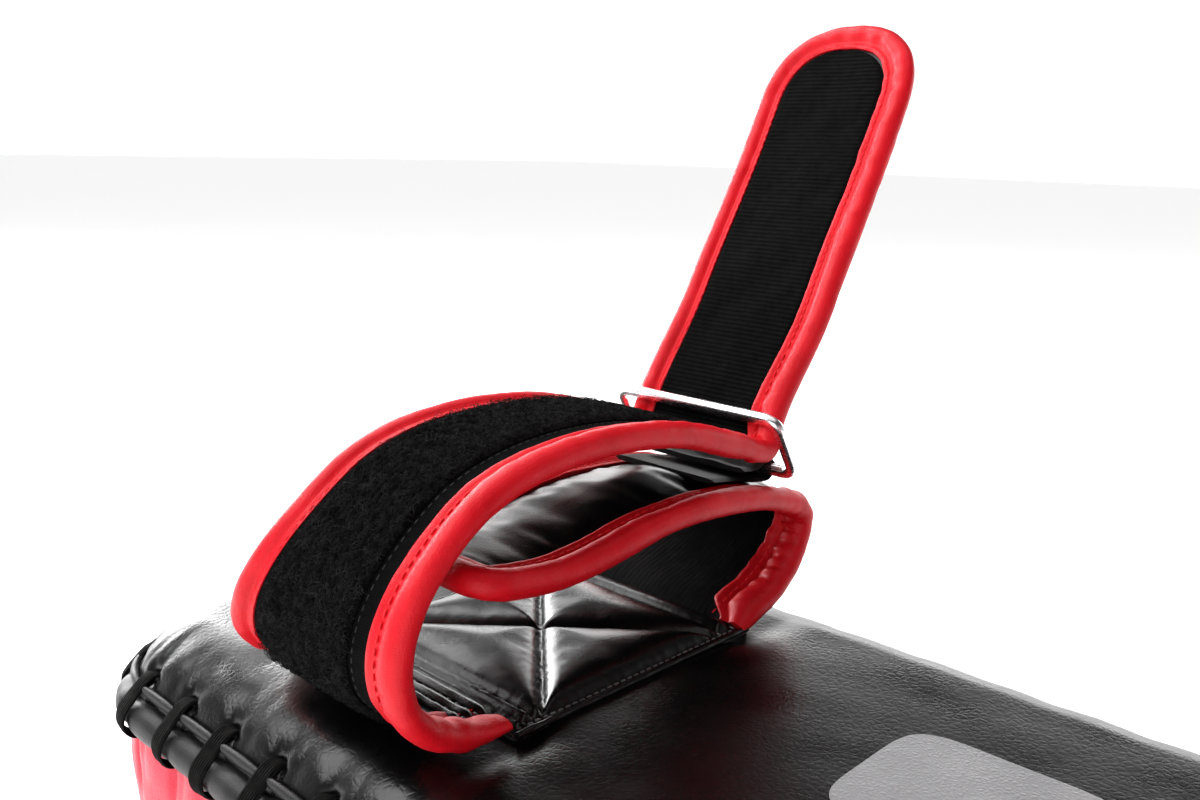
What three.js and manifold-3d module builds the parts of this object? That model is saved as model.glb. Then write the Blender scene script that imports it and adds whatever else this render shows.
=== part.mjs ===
// Thai pad: a padded striking shield worn on the forearm, lying on its striking face.
// X runs from the elbow end (-X) to the hand end (+X), Y across the pad, Z up. Millimetres.
import * as THREE from 'three';
import { mergeVertices } from 'three/addons/utils/BufferGeometryUtils.js';
import Module from 'manifold-3d';

const wasm = await Module();
wasm.setup();

// ---- driving dimensions -------------------------------------------------------------------
const GAP = 0.3;                // clearance between pieces that touch in the real object
const EDGE_GAP = 1.2;           // the same beside the bindings, whose edges bend and flare

const PAD = {
  length: 480,
  width: 200,
  height: 97,                   // striking face to the flat of the back panel
  cornerRadius: 38,             // of the outline, seen from above
  shoulder: 27,                 // rounding of the back panel down to the seam
  toe: 14,                      // rounding of the striking panel up to the side band
  leather: 2.2,                 // thickness of the cover
  bandBottom: 18,
  seam: 69,                     // height of the laced seam
};
const FOAM = {
  dense: 26,                    // heights of the two joints between foam slabs
  core: 64,
  lapLow: 40,                   // the toe-rounded and shoulder-rounded halves share this stretch
  lapHigh: 60,
};
const PIPING = { middle: 70, height: 11.4, proud: 6, rounding: 2.4 };
const LACE = { wraps: 50, width: 6, thick: 2, root: 0.4, runWidth: 2.6 };
const STRAP = {
  width: 65,
  bandThick: 3,
  loopThick: 1.8,
  bindingWide: 7.5,
  bindingThick: 8,
  bindingBevel: 1.6,
};
const CUSHION = { halfWidth: 54, height: 7, rounding: 3, wall: 1.2, depth: 10 };
const FLAP = {
  outer: 3.5,
  inner: 3.5,
  liningThick: 2.2,
  bindingThick: 8.5,
  closureTrim: 2,               // the binding across the free end is this much slimmer
  tabLength: 6,
};
const KEEPER = { halfThick: 0.9, inset: 10 };   // inset from the strap's edges
const RING = { length: 75.2, depth: 28.5, wire: 3.5, cornerRadius: 5, innerRadius: 1.2, bevel: 1,
  slope: -57.9, overhang: 2.2 };              // past the strap's near edge
const TONGUE = {
  width: 62.8,
  setBack: 2,                   // of its near edge from the strap's
  start: -3,
  length: 157,
  lean: 61.3,                   // degrees above the horizontal, standing open
  standoff: 6,                  // from the ring's front bar to the middle of the tongue
  bindingWide: 7,
  bindingThick: 7.5,
  backThick: 2.5,
  hookThick: 1.5,
  joints: [50.2, 100.2],        // where the tongue curls, along its length
  jointGap: 1.2,
};
const HANDLE = { x: 192, radius: 13, wall: 1.8, tabLength: 34, tabWidth: 36, tabThick: 3,
  tabMiddle: 59 };              // from the pad's middle line

// The two forearm cuffs: x of the edge nearer the hand, and how far the base flares to the elbow.
const CUFFS = [
  { label: 'elbow', xNear: -72, flare: 26 },
  { label: 'wrist', xNear: 171, flare: 4 },
];

// ---- materials ----------------------------------------------------------------------------
const finish = (color, roughness, metalness = 0) =>
  new THREE.MeshStandardMaterial({ color, roughness, metalness });
const LEATHER = finish(0x17171a, 0.32);
const RED_LEATHER = finish(0xd9202f, 0.5);
const RED_TAPE = finish(0xdc2433, 0.55);
const LOOP_PILE = finish(0x111113, 0.95);
const HOOK_TAPE = finish(0x131315, 0.85);
const LINING = finish(0x101012, 0.8);
const LACE_CORD = finish(0x0e0e10, 0.8);
const CHROME = finish(0xd8d4cc, 0.12, 1);
const DENSE_FOAM = finish(0x2c2c30, 0.9);
const SOFT_FOAM = finish(0xd9d4c2, 0.95);

const pad = new THREE.Group();

function addMesh(parent, name, geometry, material) {
  const mesh = new THREE.Mesh(geometry, material);
  mesh.name = name;
  parent.add(mesh);
  return mesh;
}

// ---- solids -------------------------------------------------------------------------------
function toSolid(geometry) {
  const bare = geometry.clone();
  bare.deleteAttribute('normal');
  bare.deleteAttribute('uv');
  const merged = mergeVertices(bare, 1e-4);
  return new wasm.Manifold(new wasm.Mesh({
    numProp: 3,
    vertProperties: new Float32Array(merged.attributes.position.array),
    triVerts: new Uint32Array(merged.index.array),
  }));
}

function toGeometry(solid) {
  const mesh = solid.getMesh();
  const geometry = new THREE.BufferGeometry();
  geometry.setAttribute('position', new THREE.BufferAttribute(mesh.vertProperties, 3));
  geometry.setIndex(new THREE.BufferAttribute(mesh.triVerts, 1));
  return geometry;
}

// The pad's outline seen from above, pulled in by `inset`.
function padOutline(inset) {
  const x = PAD.length / 2 - inset;
  const y = PAD.width / 2 - inset;
  const r = PAD.cornerRadius - inset;
  const outline = new THREE.Shape();
  outline.moveTo(-x, 0);
  outline.lineTo(-x, -y + r);
  outline.absarc(-x + r, -y + r, r, Math.PI, 1.5 * Math.PI);
  outline.lineTo(x - r, -y);
  outline.absarc(x - r, -y + r, r, 1.5 * Math.PI, 2 * Math.PI);
  outline.lineTo(x, y - r);
  outline.absarc(x - r, y - r, r, 0, 0.5 * Math.PI);
  outline.lineTo(-x + r, y);
  outline.absarc(-x + r, y - r, r, 0.5 * Math.PI, Math.PI);
  outline.lineTo(-x, 0);
  return outline;
}

// A slab of the pad's outline between two heights, both edges rounded alike.
function roundedSlab(inset, low, high, rounding, curveSegments = 4) {
  const geometry = new THREE.ExtrudeGeometry(padOutline(inset + rounding), {
    depth: high - low - 2 * rounding,
    bevelSize: rounding,
    bevelThickness: rounding,
    bevelSegments: 3,
    curveSegments,
  });
  return toSolid(geometry.translate(0, 0, low + rounding));
}

function plainSlab(inset, low, high, curveSegments = 4) {
  const options = { depth: high - low, bevelEnabled: false, curveSegments };
  return toSolid(new THREE.ExtrudeGeometry(padOutline(inset), options).translate(0, 0, low));
}

// ---- cover and foam -----------------------------------------------------------------------
function addBody() {
  const { height, seam, bandBottom, leather, shoulder, toe } = PAD;
  const below = -10;
  const above = height + 10;
  const beyond = -20;           // an outline larger than the cover

  const backOuter = roundedSlab(0, seam - shoulder, height, shoulder);
  const backInner = roundedSlab(leather, seam - shoulder, height - leather, shoulder - leather);
  const backHalf = plainSlab(beyond, seam + GAP, above);
  const backPanel = backOuter.subtract(backInner).intersect(backHalf);
  addMesh(pad, 'back_panel', toGeometry(backPanel), LEATHER);

  const frontOuter = roundedSlab(0, 0, bandBottom + toe, toe);
  const frontInner = roundedSlab(leather, leather, bandBottom + toe, toe - leather);
  const frontHalf = plainSlab(beyond, below, bandBottom - GAP);
  const strikingPanel = frontOuter.subtract(frontInner).intersect(frontHalf);
  addMesh(pad, 'striking_panel', toGeometry(strikingPanel), LEATHER);

  const sideBand = plainSlab(0, bandBottom, seam).subtract(plainSlab(leather, below, above));
  addMesh(pad, 'side_band', toGeometry(sideBand), RED_LEATHER);

  // Three foam slabs fill the cover: dense at the striking face, soft against the forearm.
  const clear = leather + EDGE_GAP;
  const inside = roundedSlab(clear, clear, FOAM.lapHigh, toe - leather, 3)
    .add(roundedSlab(clear, FOAM.lapLow, height - clear, shoulder - leather, 3));
  const strike = inside.intersect(plainSlab(0, below, FOAM.dense - GAP, 3));
  addMesh(pad, 'foam_striking_dense', toGeometry(strike), DENSE_FOAM);
  const core = inside.intersect(plainSlab(0, FOAM.dense, FOAM.core - GAP, 3));
  addMesh(pad, 'foam_core', toGeometry(core), SOFT_FOAM);
  const back = inside.intersect(plainSlab(0, FOAM.core, above, 3));
  addMesh(pad, 'foam_back_soft', toGeometry(back), SOFT_FOAM);
}

// The roll of leather that the lace is whipped around, all round the seam.
function addPiping() {
  const { height, proud, rounding } = PIPING;
  const ring = padOutline(rounding - proud);
  ring.holes.push(padOutline(-GAP - rounding));
  const geometry = new THREE.ExtrudeGeometry(ring, {
    depth: height - 2 * rounding,
    bevelSize: rounding,
    bevelThickness: rounding,
    bevelSegments: 1,
    curveSegments: 4,
  });
  geometry.translate(0, 0, PIPING.middle - height / 2 + rounding);
  addMesh(pad, 'seam_piping', geometry, LEATHER);
}

// One flat lace: C-shaped wraps around the piping, joined by the run underneath it.
function addLacing() {
  const { wraps, width, thick, root, runWidth } = LACE;
  const { middle } = PIPING;
  const half = PIPING.height / 2 + GAP;
  const reach = PIPING.proud + GAP;
  const inner = [[root, half], [reach, half], [reach, -half], [root, -half]];
  const outer = [[root, -half - thick], [reach + thick, -half], [reach + thick, half],
    [root, half + thick]];
  const section = new THREE.Shape([...inner, ...outer].map(([u, v]) => new THREE.Vector2(u, v)));
  const wrap = new THREE.ExtrudeGeometry(section, { depth: width, bevelEnabled: false });
  wrap.translate(0, 0, -width / 2);

  const run = padOutline(-root - runWidth);
  run.holes.push(padOutline(-root));
  const runLow = middle - half - thick;
  const runGeometry = new THREE.ExtrudeGeometry(run, {
    depth: thick - GAP,
    bevelEnabled: false,
    curveSegments: 4,
  });
  const pieces = [toSolid(runGeometry.translate(0, 0, runLow))];

  const seamLine = padOutline(0);
  for (let i = 0; i < wraps; i += 1) {
    const u = (i + 0.5) / wraps;
    const point = seamLine.getPointAt(u);
    const along = seamLine.getTangentAt(u);
    const outward = new THREE.Vector3(along.y, -along.x, 0);
    const up = new THREE.Vector3(0, 0, 1);
    const across = new THREE.Vector3().crossVectors(outward, up);
    const place = new THREE.Matrix4().makeBasis(outward, up, across);
    place.setPosition(point.x, point.y, middle);
    pieces.push(toSolid(wrap.clone().applyMatrix4(place)));
  }
  addMesh(pad, 'seam_lace', toGeometry(wasm.Manifold.union(pieces)), LACE_CORD);
}

// ---- ribbons that bend in the YZ plane ----------------------------------------------------
const curveOf = (points) => new THREE.SplineCurve(points.map(([y, z]) => new THREE.Vector2(y, z)));

// The closed YZ outline between two offsets to the left of a curve.
function ribbonShape(curve, low, high, steps) {
  const side = (offset) => Array.from({ length: steps + 1 }, (_, i) => {
    const point = curve.getPointAt(i / steps);
    const along = curve.getTangentAt(i / steps);
    return new THREE.Vector2(point.x - offset * along.y, point.y + offset * along.x);
  });
  return new THREE.Shape([...side(low), ...side(high).reverse()]);
}

// Extrudes a YZ shape along X from xLow to xHigh.
function acrossPad(shape, xLow, xHigh, bevel = 0) {
  const geometry = new THREE.ExtrudeGeometry(shape, {
    depth: xHigh - xLow - 2 * bevel,
    bevelEnabled: bevel > 0,
    bevelSize: bevel,
    bevelThickness: bevel,
    bevelOffset: -bevel,
    bevelSegments: 1,
    curveSegments: 8,
  });
  const yzx = new THREE.Matrix4().makeBasis(
    new THREE.Vector3(0, 1, 0),
    new THREE.Vector3(0, 0, 1),
    new THREE.Vector3(1, 0, 0),
  );
  return geometry.applyMatrix4(yzx).translate(xLow + bevel, 0, 0);
}

// Widens a cuff piece towards the elbow where it is low on the pad.
function flareBase(geometry, cuff, top) {
  const position = geometry.attributes.position;
  for (let i = 0; i < position.count; i += 1) {
    const across = (cuff.xNear - position.getX(i)) / STRAP.width;
    const low = 1 - THREE.MathUtils.smoothstep(position.getZ(i), PAD.height, top);
    position.setX(i, position.getX(i) - cuff.flare * across * low);
  }
  return geometry;
}

// ---- one forearm cuff ---------------------------------------------------------------------
// Centre lines in (y, z). The strap starts at its sewn base on the -Y side and rises over the
// forearm to the ring; the flap starts on the +Y side and passes under the strap.
const STRAP_LINE = curveOf([[-56, 101.7], [-67, 102.2], [-79, 106.3], [-88.5, 115.3], [-92, 128],
  [-89, 141.5], [-80, 154.5], [-64, 167], [-41, 174], [-12, 175.6], [17, 172.2], [38, 166.3],
  [51, 162.2]]);
const FLAP_LINE = curveOf([[61, 102.2], [70.5, 105.5], [80, 112.5], [86, 121.5], [88, 129.5],
  [84, 135.5], [74, 139.3], [55, 143.5], [32, 145.6], [8, 145], [-14, 141.6], [-34, 139.8],
  [-54, 141.8], [-68, 145.4]]);
const KEEPER_LINE = curveOf([[44, 149.9], [56, 148.2], [66, 146.2], [72, 145.1], [76.1, 145],
  [79.9, 148.8], [76.1, 152.6], [72.2, 151], [68, 149.7], [61, 150.5]]);
const FRONT_BAR = { y: 62.8, z: 170 };
const HANDLE_LINE = [[-60, 103], [-59.5, 113], [-47, 131], [-22, 138.5], [22, 138.5], [47, 131],
  [59.5, 113], [60, 103]];
const LINE_STEPS = 19;
const FLAP_STEPS = 25;
const KEEPER_STEPS = 24;
const STRAP_TOP = 165;          // height where the strap has narrowed to its own width
const FLAP_TOP = 140;

function addStrap(cuff) {
  const { width, bandThick, loopThick, bindingWide, bindingThick, bindingBevel } = STRAP;
  const near = cuff.xNear;
  const far = near - width;
  const half = bandThick / 2;
  const side = bindingWide + EDGE_GAP;
  const piece = (name, low, high, xLow, xHigh, bevel, material) => {
    const shape = ribbonShape(STRAP_LINE, low, high, LINE_STEPS);
    const geometry = flareBase(acrossPad(shape, xLow, xHigh, bevel), cuff, STRAP_TOP);
    addMesh(pad, `${cuff.label}_${name}`, geometry, material);
  };
  piece('strap_band', -half, half, far + side, near - side, 0, LEATHER);
  const loopLow = half + GAP;
  piece('loop_panel', loopLow, loopLow + loopThick, far + side, near - side, 0, LOOP_PILE);
  const roll = bindingThick / 2;
  const bevel = bindingBevel;
  piece('strap_binding_near', -roll, roll, near - bindingWide, near, bevel, RED_TAPE);
  piece('strap_binding_far', -roll, roll, far, far + bindingWide, bevel, RED_TAPE);
}

function addFlap(cuff) {
  const { outer, inner, liningThick, bindingThick, closureTrim, tabLength } = FLAP;
  const { bindingWide, bindingBevel } = STRAP;
  const near = cuff.xNear;
  const far = near - STRAP.width;
  const side = bindingWide + EDGE_GAP;
  const body = (low, high) => {
    const shape = ribbonShape(FLAP_LINE, low, high, FLAP_STEPS);
    return flareBase(acrossPad(shape, far + side, near - side), cuff, FLAP_TOP);
  };
  const liningLow = inner - liningThick;
  addMesh(pad, `${cuff.label}_flap_cover`, body(-outer, liningLow - GAP), LEATHER);
  addMesh(pad, `${cuff.label}_flap_lining`, body(liningLow, inner), LINING);

  // The binding runs up the near edge, round the free end and back down the far edge.
  const roll = bindingThick / 2;
  const shape = ribbonShape(FLAP_LINE, -roll, roll, FLAP_STEPS);
  const nearRoll = toSolid(acrossPad(shape, near - bindingWide, near, bindingBevel));
  const farRoll = toSolid(acrossPad(shape, far, far + bindingWide, bindingBevel));
  const end = FLAP_LINE.getPointAt(1);
  const along = FLAP_LINE.getTangentAt(1);
  const closureDepth = bindingWide - closureTrim;
  const closureWidth = STRAP.width - 2 * bindingBevel;
  const closureThick = bindingThick - closureTrim;
  const closure = new THREE.BoxGeometry(closureWidth, closureDepth, closureThick);
  const place = new THREE.Matrix4().makeBasis(
    new THREE.Vector3(1, 0, 0),
    new THREE.Vector3(0, along.x, along.y),
    new THREE.Vector3(0, -along.y, along.x),
  );
  const reach = GAP + closureDepth / 2;
  place.setPosition((near + far) / 2, end.x + along.x * reach, end.y + along.y * reach);
  const tab = (xMiddle) => {
    const trim = 2 * bindingBevel + GAP;
    const join = new THREE.BoxGeometry(bindingWide - trim, tabLength, bindingThick - trim);
    const at = place.clone();
    at.setPosition(xMiddle, end.x, end.y);
    return toSolid(join.applyMatrix4(at));
  };
  const binding = wasm.Manifold.union([
    nearRoll,
    farRoll,
    toSolid(closure.applyMatrix4(place)),
    tab(near - bindingWide / 2),
    tab(far + bindingWide / 2),
  ]);
  const geometry = flareBase(toGeometry(binding), cuff, FLAP_TOP);
  addMesh(pad, `${cuff.label}_flap_binding`, geometry, RED_TAPE);
}

// The quilted cushion between the two bases, under the forearm.
function addCushion(cuff) {
  const { halfWidth, height, rounding, wall, depth } = CUSHION;
  const low = PAD.height + GAP;
  const dome = (inset, top) => {
    const r = rounding - inset * 0.5;
    const outline = new THREE.Shape();
    const x0 = cuff.xNear - STRAP.width - cuff.flare + inset + r;
    const x1 = cuff.xNear - inset - r;
    const y = halfWidth - inset - r;
    outline.moveTo(x0, -y);
    outline.lineTo(x1, -y);
    outline.lineTo(x1, y);
    outline.lineTo(x0, y);
    const geometry = new THREE.ExtrudeGeometry(outline, {
      depth,
      bevelSize: r,
      bevelThickness: r,
      bevelSegments: 2,
    });
    return toSolid(geometry.translate(0, 0, top - depth - r));
  };
  const above = new THREE.BoxGeometry(2 * PAD.length, 2 * PAD.width, 2 * depth);
  const floor = toSolid(above.translate(0, 0, low + depth));
  const outer = dome(0, low + height).intersect(floor);
  const inner = dome(wall, low + height - wall);
  addMesh(pad, `${cuff.label}_cushion_cover`, toGeometry(outer.subtract(inner)), LEATHER);
  const fill = dome(wall + GAP, low + height - wall - GAP).intersect(floor);
  addMesh(pad, `${cuff.label}_cushion_foam`, toGeometry(fill), SOFT_FOAM);
}

// The chromed rectangular ring, sloping down from its front bar to the keeper on the flap.
function addRing(cuff) {
  const { length, depth, wire, cornerRadius, innerRadius, bevel, slope, overhang } = RING;
  const rectangle = (inset) => {
    const x = length / 2 - inset;
    const y = depth - 2 * inset;
    const r = Math.max(cornerRadius - inset, innerRadius);
    const outline = new THREE.Shape();
    outline.moveTo(-x + r, 0);
    outline.lineTo(x - r, 0);
    outline.absarc(x - r, r, r, 1.5 * Math.PI, 2 * Math.PI);
    outline.lineTo(x, y - r);
    outline.absarc(x - r, y - r, r, 0, 0.5 * Math.PI);
    outline.lineTo(-x + r, y);
    outline.absarc(-x + r, y - r, r, 0.5 * Math.PI, Math.PI);
    outline.lineTo(-x, r);
    outline.absarc(-x + r, r, r, Math.PI, 1.5 * Math.PI);
    return outline;
  };
  const shape = rectangle(bevel);
  const hole = new THREE.Path(rectangle(wire - bevel).getPoints(2)
    .map((p) => p.add(new THREE.Vector2(0, wire - 2 * bevel))));
  shape.holes.push(hole);
  const geometry = new THREE.ExtrudeGeometry(shape, {
    depth: wire - 2 * bevel,
    bevelSize: bevel,
    bevelThickness: bevel,
    bevelSegments: 1,
    curveSegments: 2,
  });
  geometry.translate(0, bevel - wire / 2, bevel - wire / 2);
  geometry.rotateX(THREE.MathUtils.degToRad(slope));
  geometry.translate(cuff.xNear + overhang - length / 2, FRONT_BAR.y, FRONT_BAR.z);
  addMesh(pad, `${cuff.label}_ring`, geometry, CHROME);

  const { halfThick, inset } = KEEPER;
  const keeper = acrossPad(
    ribbonShape(KEEPER_LINE, -halfThick, halfThick, KEEPER_STEPS),
    cuff.xNear - STRAP.width + inset,
    cuff.xNear - inset,
  );
  addMesh(pad, `${cuff.label}_ring_keeper`, keeper, LEATHER);
}

// ---- the hook-and-loop tongue -------------------------------------------------------------
// Outline in the tongue's own plane: x across it, y along it. A tip is a half round.
function tongueOutline(low, high, inset, round) {
  const x = TONGUE.width / 2 - inset;
  const outline = new THREE.Shape();
  outline.moveTo(-x, low);
  outline.lineTo(x, low);
  if (round) {
    outline.lineTo(x, high - TONGUE.width / 2);
    outline.absarc(0, high - TONGUE.width / 2, x, 0, Math.PI);
  } else {
    outline.lineTo(x, high);
    outline.lineTo(-x, high);
  }
  return outline;
}

function flat(shape, low, high) {
  const options = { depth: high - low, bevelEnabled: false, curveSegments: 7 };
  return new THREE.ExtrudeGeometry(shape, options).translate(0, 0, low);
}

function addTongue(cuff) {
  const { setBack, start, length, lean, standoff } = TONGUE;
  const { bindingWide, bindingThick, backThick, hookThick } = TONGUE;
  const angle = THREE.MathUtils.degToRad(lean);
  const plane = new THREE.Group();
  plane.rotation.x = angle;
  plane.position.set(
    cuff.xNear - setBack - TONGUE.width / 2,
    FRONT_BAR.y + standoff * Math.sin(angle),
    FRONT_BAR.z - standoff * Math.cos(angle),
  );
  pad.add(plane);

  const [first, second] = TONGUE.joints;
  const cut = TONGUE.jointGap / 2;
  const spans = [
    { part: 'root', low: start, high: first - cut },
    { part: 'middle', low: first + cut, high: second - cut },
    { part: 'tip', low: second + cut, high: length },
  ];
  const side = bindingWide + EDGE_GAP;
  const roll = bindingThick / 2;
  const backLow = -(backThick + hookThick) / 2;
  for (const { part, low, high } of spans) {
    const round = part === 'tip';
    const name = `${cuff.label}_tongue_${part}`;
    const panel = tongueOutline(low, high, side, round);
    addMesh(plane, `${name}_backing`, flat(panel, backLow, backLow + backThick), LEATHER);
    const hookLow = backLow + backThick + GAP;
    addMesh(plane, `${name}_hook_tape`, flat(panel, hookLow, hookLow + hookThick), HOOK_TAPE);
    if (round) {
      const edge = tongueOutline(low, high, 0, true);
      const inner = tongueOutline(low - bindingWide, high, bindingWide, true);
      const cutter = toSolid(flat(inner, -bindingThick, bindingThick));
      const binding = toSolid(flat(edge, -roll, roll)).subtract(cutter);
      addMesh(plane, `${name}_binding`, toGeometry(binding), RED_TAPE);
    } else {
      for (const [edgeName, sign] of [['near', 1], ['far', -1]]) {
        const edge = new THREE.BoxGeometry(bindingWide, high - low, bindingThick);
        const middle = sign * (TONGUE.width - bindingWide) / 2;
        edge.translate(middle, (low + high) / 2, 0);
        addMesh(plane, `${name}_binding_${edgeName}`, edge, RED_TAPE);
      }
    }
  }
}

// ---- the hand grip ------------------------------------------------------------------------
function addHandle() {
  const { x, radius, wall, tabLength, tabWidth, tabThick, tabMiddle } = HANDLE;
  const points = HANDLE_LINE.map(([y, z]) => new THREE.Vector3(x, y, z));
  const path = new THREE.CatmullRomCurve3(points);
  const round = (r) => new THREE.Shape().absarc(0, 0, r, 0, 2 * Math.PI);
  const sweep = { extrudePath: path, steps: 14, curveSegments: 5 };
  const sleeve = round(radius);
  sleeve.holes.push(round(radius - wall));
  addMesh(pad, 'handle_cover', new THREE.ExtrudeGeometry(sleeve, sweep), LEATHER);
  const core = new THREE.ExtrudeGeometry(round(radius - wall - GAP), sweep);
  addMesh(pad, 'handle_core', core, DENSE_FOAM);

  for (const [name, sign] of [['near', -1], ['far', 1]]) {
    const tab = new THREE.BoxGeometry(tabWidth, tabLength, tabThick);
    tab.translate(x, sign * tabMiddle, PAD.height + GAP + tabThick / 2);
    addMesh(pad, `handle_tab_${name}`, tab, LEATHER);
  }
}

addBody();
addPiping();
addLacing();
for (const cuff of CUFFS) {
  addCushion(cuff);
  addStrap(cuff);
  addFlap(cuff);
  addRing(cuff);
  addTongue(cuff);
}
addHandle();

export default pad;
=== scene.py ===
"""Looks of the thai pad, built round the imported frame. Lengths are in mm until a mesh is made."""
import math

import bmesh
import bpy
import numpy as np
from mathutils import Matrix, Vector


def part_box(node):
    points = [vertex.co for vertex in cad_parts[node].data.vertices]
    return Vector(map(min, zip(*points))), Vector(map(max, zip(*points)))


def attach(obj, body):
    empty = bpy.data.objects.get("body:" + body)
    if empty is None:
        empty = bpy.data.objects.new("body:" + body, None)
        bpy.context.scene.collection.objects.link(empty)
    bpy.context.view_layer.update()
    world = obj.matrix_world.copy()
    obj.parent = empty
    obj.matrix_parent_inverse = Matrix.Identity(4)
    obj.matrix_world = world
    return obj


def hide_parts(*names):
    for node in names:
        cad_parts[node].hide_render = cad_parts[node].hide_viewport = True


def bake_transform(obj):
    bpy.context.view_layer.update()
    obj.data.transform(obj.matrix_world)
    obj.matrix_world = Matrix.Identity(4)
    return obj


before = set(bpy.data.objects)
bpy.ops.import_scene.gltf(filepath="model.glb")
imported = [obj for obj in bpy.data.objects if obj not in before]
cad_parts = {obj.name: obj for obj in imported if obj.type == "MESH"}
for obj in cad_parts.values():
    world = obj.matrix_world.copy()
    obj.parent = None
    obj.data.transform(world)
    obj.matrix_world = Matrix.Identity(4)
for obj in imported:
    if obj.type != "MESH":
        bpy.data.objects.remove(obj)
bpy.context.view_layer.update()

MM = 0.001
RNG = np.random.default_rng(11)


def node_box(node):
    """Lowest and highest corner of a CAD node, in mm."""
    low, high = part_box(node)
    return np.array(low) / MM, np.array(high) / MM


# ---------------------------------------------------------------- driving dimensions
PAD_LOW, PAD_HIGH = node_box("side_band")
PAD_HALF_X = (PAD_HIGH[0] - PAD_LOW[0]) / 2
PAD_HALF_Y = (PAD_HIGH[1] - PAD_LOW[1]) / 2
PAD_TOP = node_box("back_panel")[1][2]
PAD_RADIUS = 38.0
PAD_MIDDLE = PAD_HALF_Y - 0.001
SHOULDER = 27.0
TOE = 14.0
BAND_BOTTOM = 18.0
LEATHER = 2.2
PIPING_Z = 70.0
PIPING_RADIUS = 5.7
WRAPS = 50
WRAP_WIDTH = 7.0
STRAP_WIDTH = 65.0
STRAP_MIDDLE = 32.0
STRAP_TOP = 165.0
FLAP_TOP = 140.0
FLARE_FOOT = 97
CUSHION_HALF = 54.0
TONGUE_LENGTH = 157.0
TONGUE_LEAN = math.radians(61.3)
TONGUE_NEAR, TONGUE_FAR = 2.0, 64.8
STRAP_LINE = [(-56, 101.7), (-67, 102.2), (-79, 106.3), (-88.5, 115.3), (-92, 128), (-89, 141.5),
              (-80, 154.5), (-64, 167), (-41, 174), (-12, 175.6), (17, 172.2), (38, 166.3), (51, 162.2)]
TURN_LINE = [(57, 160.2), (62, 159.3), (65.8, 161.6)]
ENTRY, TURN = STRAP_LINE[-2], TURN_LINE[1]
TONGUE_FOOT = (68.06, 167.12)
FLAP_LINE = [(50.5, 97.6), (61, 102.2), (70.5, 105.5), (80, 112.5), (86, 121.5), (88, 129.5), (84, 135.5),
             (74, 139.3), (55, 143.5), (32, 145.6), (8, 145), (-14, 141.6), (-34, 139.8), (-54, 141.8),
             (-68, 145.4)]
KEEPER_LINE = [(44, 149.9), (56, 148.2), (66, 146.2), (72, 145.1), (76.1, 145), (79.9, 148.8),
               (76.1, 152.6), (72.2, 151), (68, 149.7), (61, 150.5)]
KEEPER_WIDTH = 45.0
HANDLE_LINE = [(-60, 103), (-59.5, 113), (-47, 131), (-22, 138.5), (22, 138.5), (47, 131), (59.5, 113),
               (60, 103)]
FAR_ROLL = 0.84
TIP_LENGTH = 33.0
TIP_POWER = 2.35
RING_WIRE = 4.1
RING_CORNER = 5.0
RING_BARS = ((62.8, 170.0), (76.08, 148.82))
CUFFS = {"elbow": {"near": -72.0, "flare": 26.0}, "wrist": {"near": 171.0, "flare": 4.0}}


# ---------------------------------------------------------------- numbers and curves
def smoothstep(x, start, end):
    t = np.clip((np.asarray(x, float) - start) / (end - start), 0, 1)
    return t * t * (3 - 2 * t)


def bell(x, width):
    return np.exp(-((x / width) ** 2))


def circle(count):
    """Angles round a full circle."""
    return np.arange(count) * 2 * math.pi / count


def unit(v):
    return v / np.maximum(np.linalg.norm(v, axis=-1, keepdims=True), 1e-9)


def travel(line):
    """Distance along a line of points, from its first."""
    return np.concatenate([[0], np.cumsum(np.linalg.norm(np.diff(line, axis=0), axis=1))])


def waves(x, y, wavelength, seed, count=9):
    """Smooth seeded noise of about that wavelength, mostly between -1 and 1."""
    source = np.random.default_rng(seed)
    total = 0
    for _ in range(count):
        angle = source.uniform(0, 2 * math.pi)
        number = 2 * math.pi / (wavelength * source.uniform(0.65, 1.6))
        across = x * math.cos(angle) + y * math.sin(angle)
        total = total + np.sin(number * across + source.uniform(0, 2 * math.pi))
    return total / math.sqrt(count)


def refined(points, rounds):
    """Rounds of the four-point scheme: each gives twice the points on a smooth curve through them."""
    points = np.array(points, float)
    for _ in range(rounds):
        padded = np.vstack([2 * points[0] - points[1], points, 2 * points[-1] - points[-2]])
        middle = (9 * (padded[1:-2] + padded[2:-1]) - padded[:-3] - padded[3:]) / 16
        woven = np.empty((len(points) + len(middle), points.shape[1]))
        woven[0::2], woven[1::2] = points, middle
        points = woven
    return points


class Path:
    """A smooth line in the Y-Z plane, with its outward normals, by distance along it."""

    def __init__(self, points, side):
        self.line = refined(points, 5)
        self.along = travel(self.line)
        tangent = unit(np.gradient(self.line, self.along, axis=0))
        self.normal = side * np.stack([-tangent[:, 1], tangent[:, 0]], 1)
        self.length = self.along[-1]

    def at(self, s):
        """Place and normal at distance s; the ends' values hold beyond them."""
        inside = np.clip(s, 0, self.length)
        columns = np.hstack([self.line, self.normal]).T
        y, z, ny, nz = (np.interp(inside, self.along, column) for column in columns)
        size = np.hypot(ny, nz)
        return y, z, ny / size, nz / size

    def nearest(self, y, z):
        return float(self.along[np.argmin((self.line[:, 0] - y) ** 2 + (self.line[:, 1] - z) ** 2)])


# ---------------------------------------------------------------- meshes
def grid_faces(rows, columns, wrap=False):
    """Quads over rows by columns of points; wrap joins the last column to the first."""
    row = np.arange(rows - 1)[:, None] * columns
    column = np.arange(columns if wrap else columns - 1)[None, :]
    after = (column + 1) % columns
    corners = [row + column, row + after, row + columns + after, row + columns + column]
    return np.stack(corners, -1).reshape(-1, 4)


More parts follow.
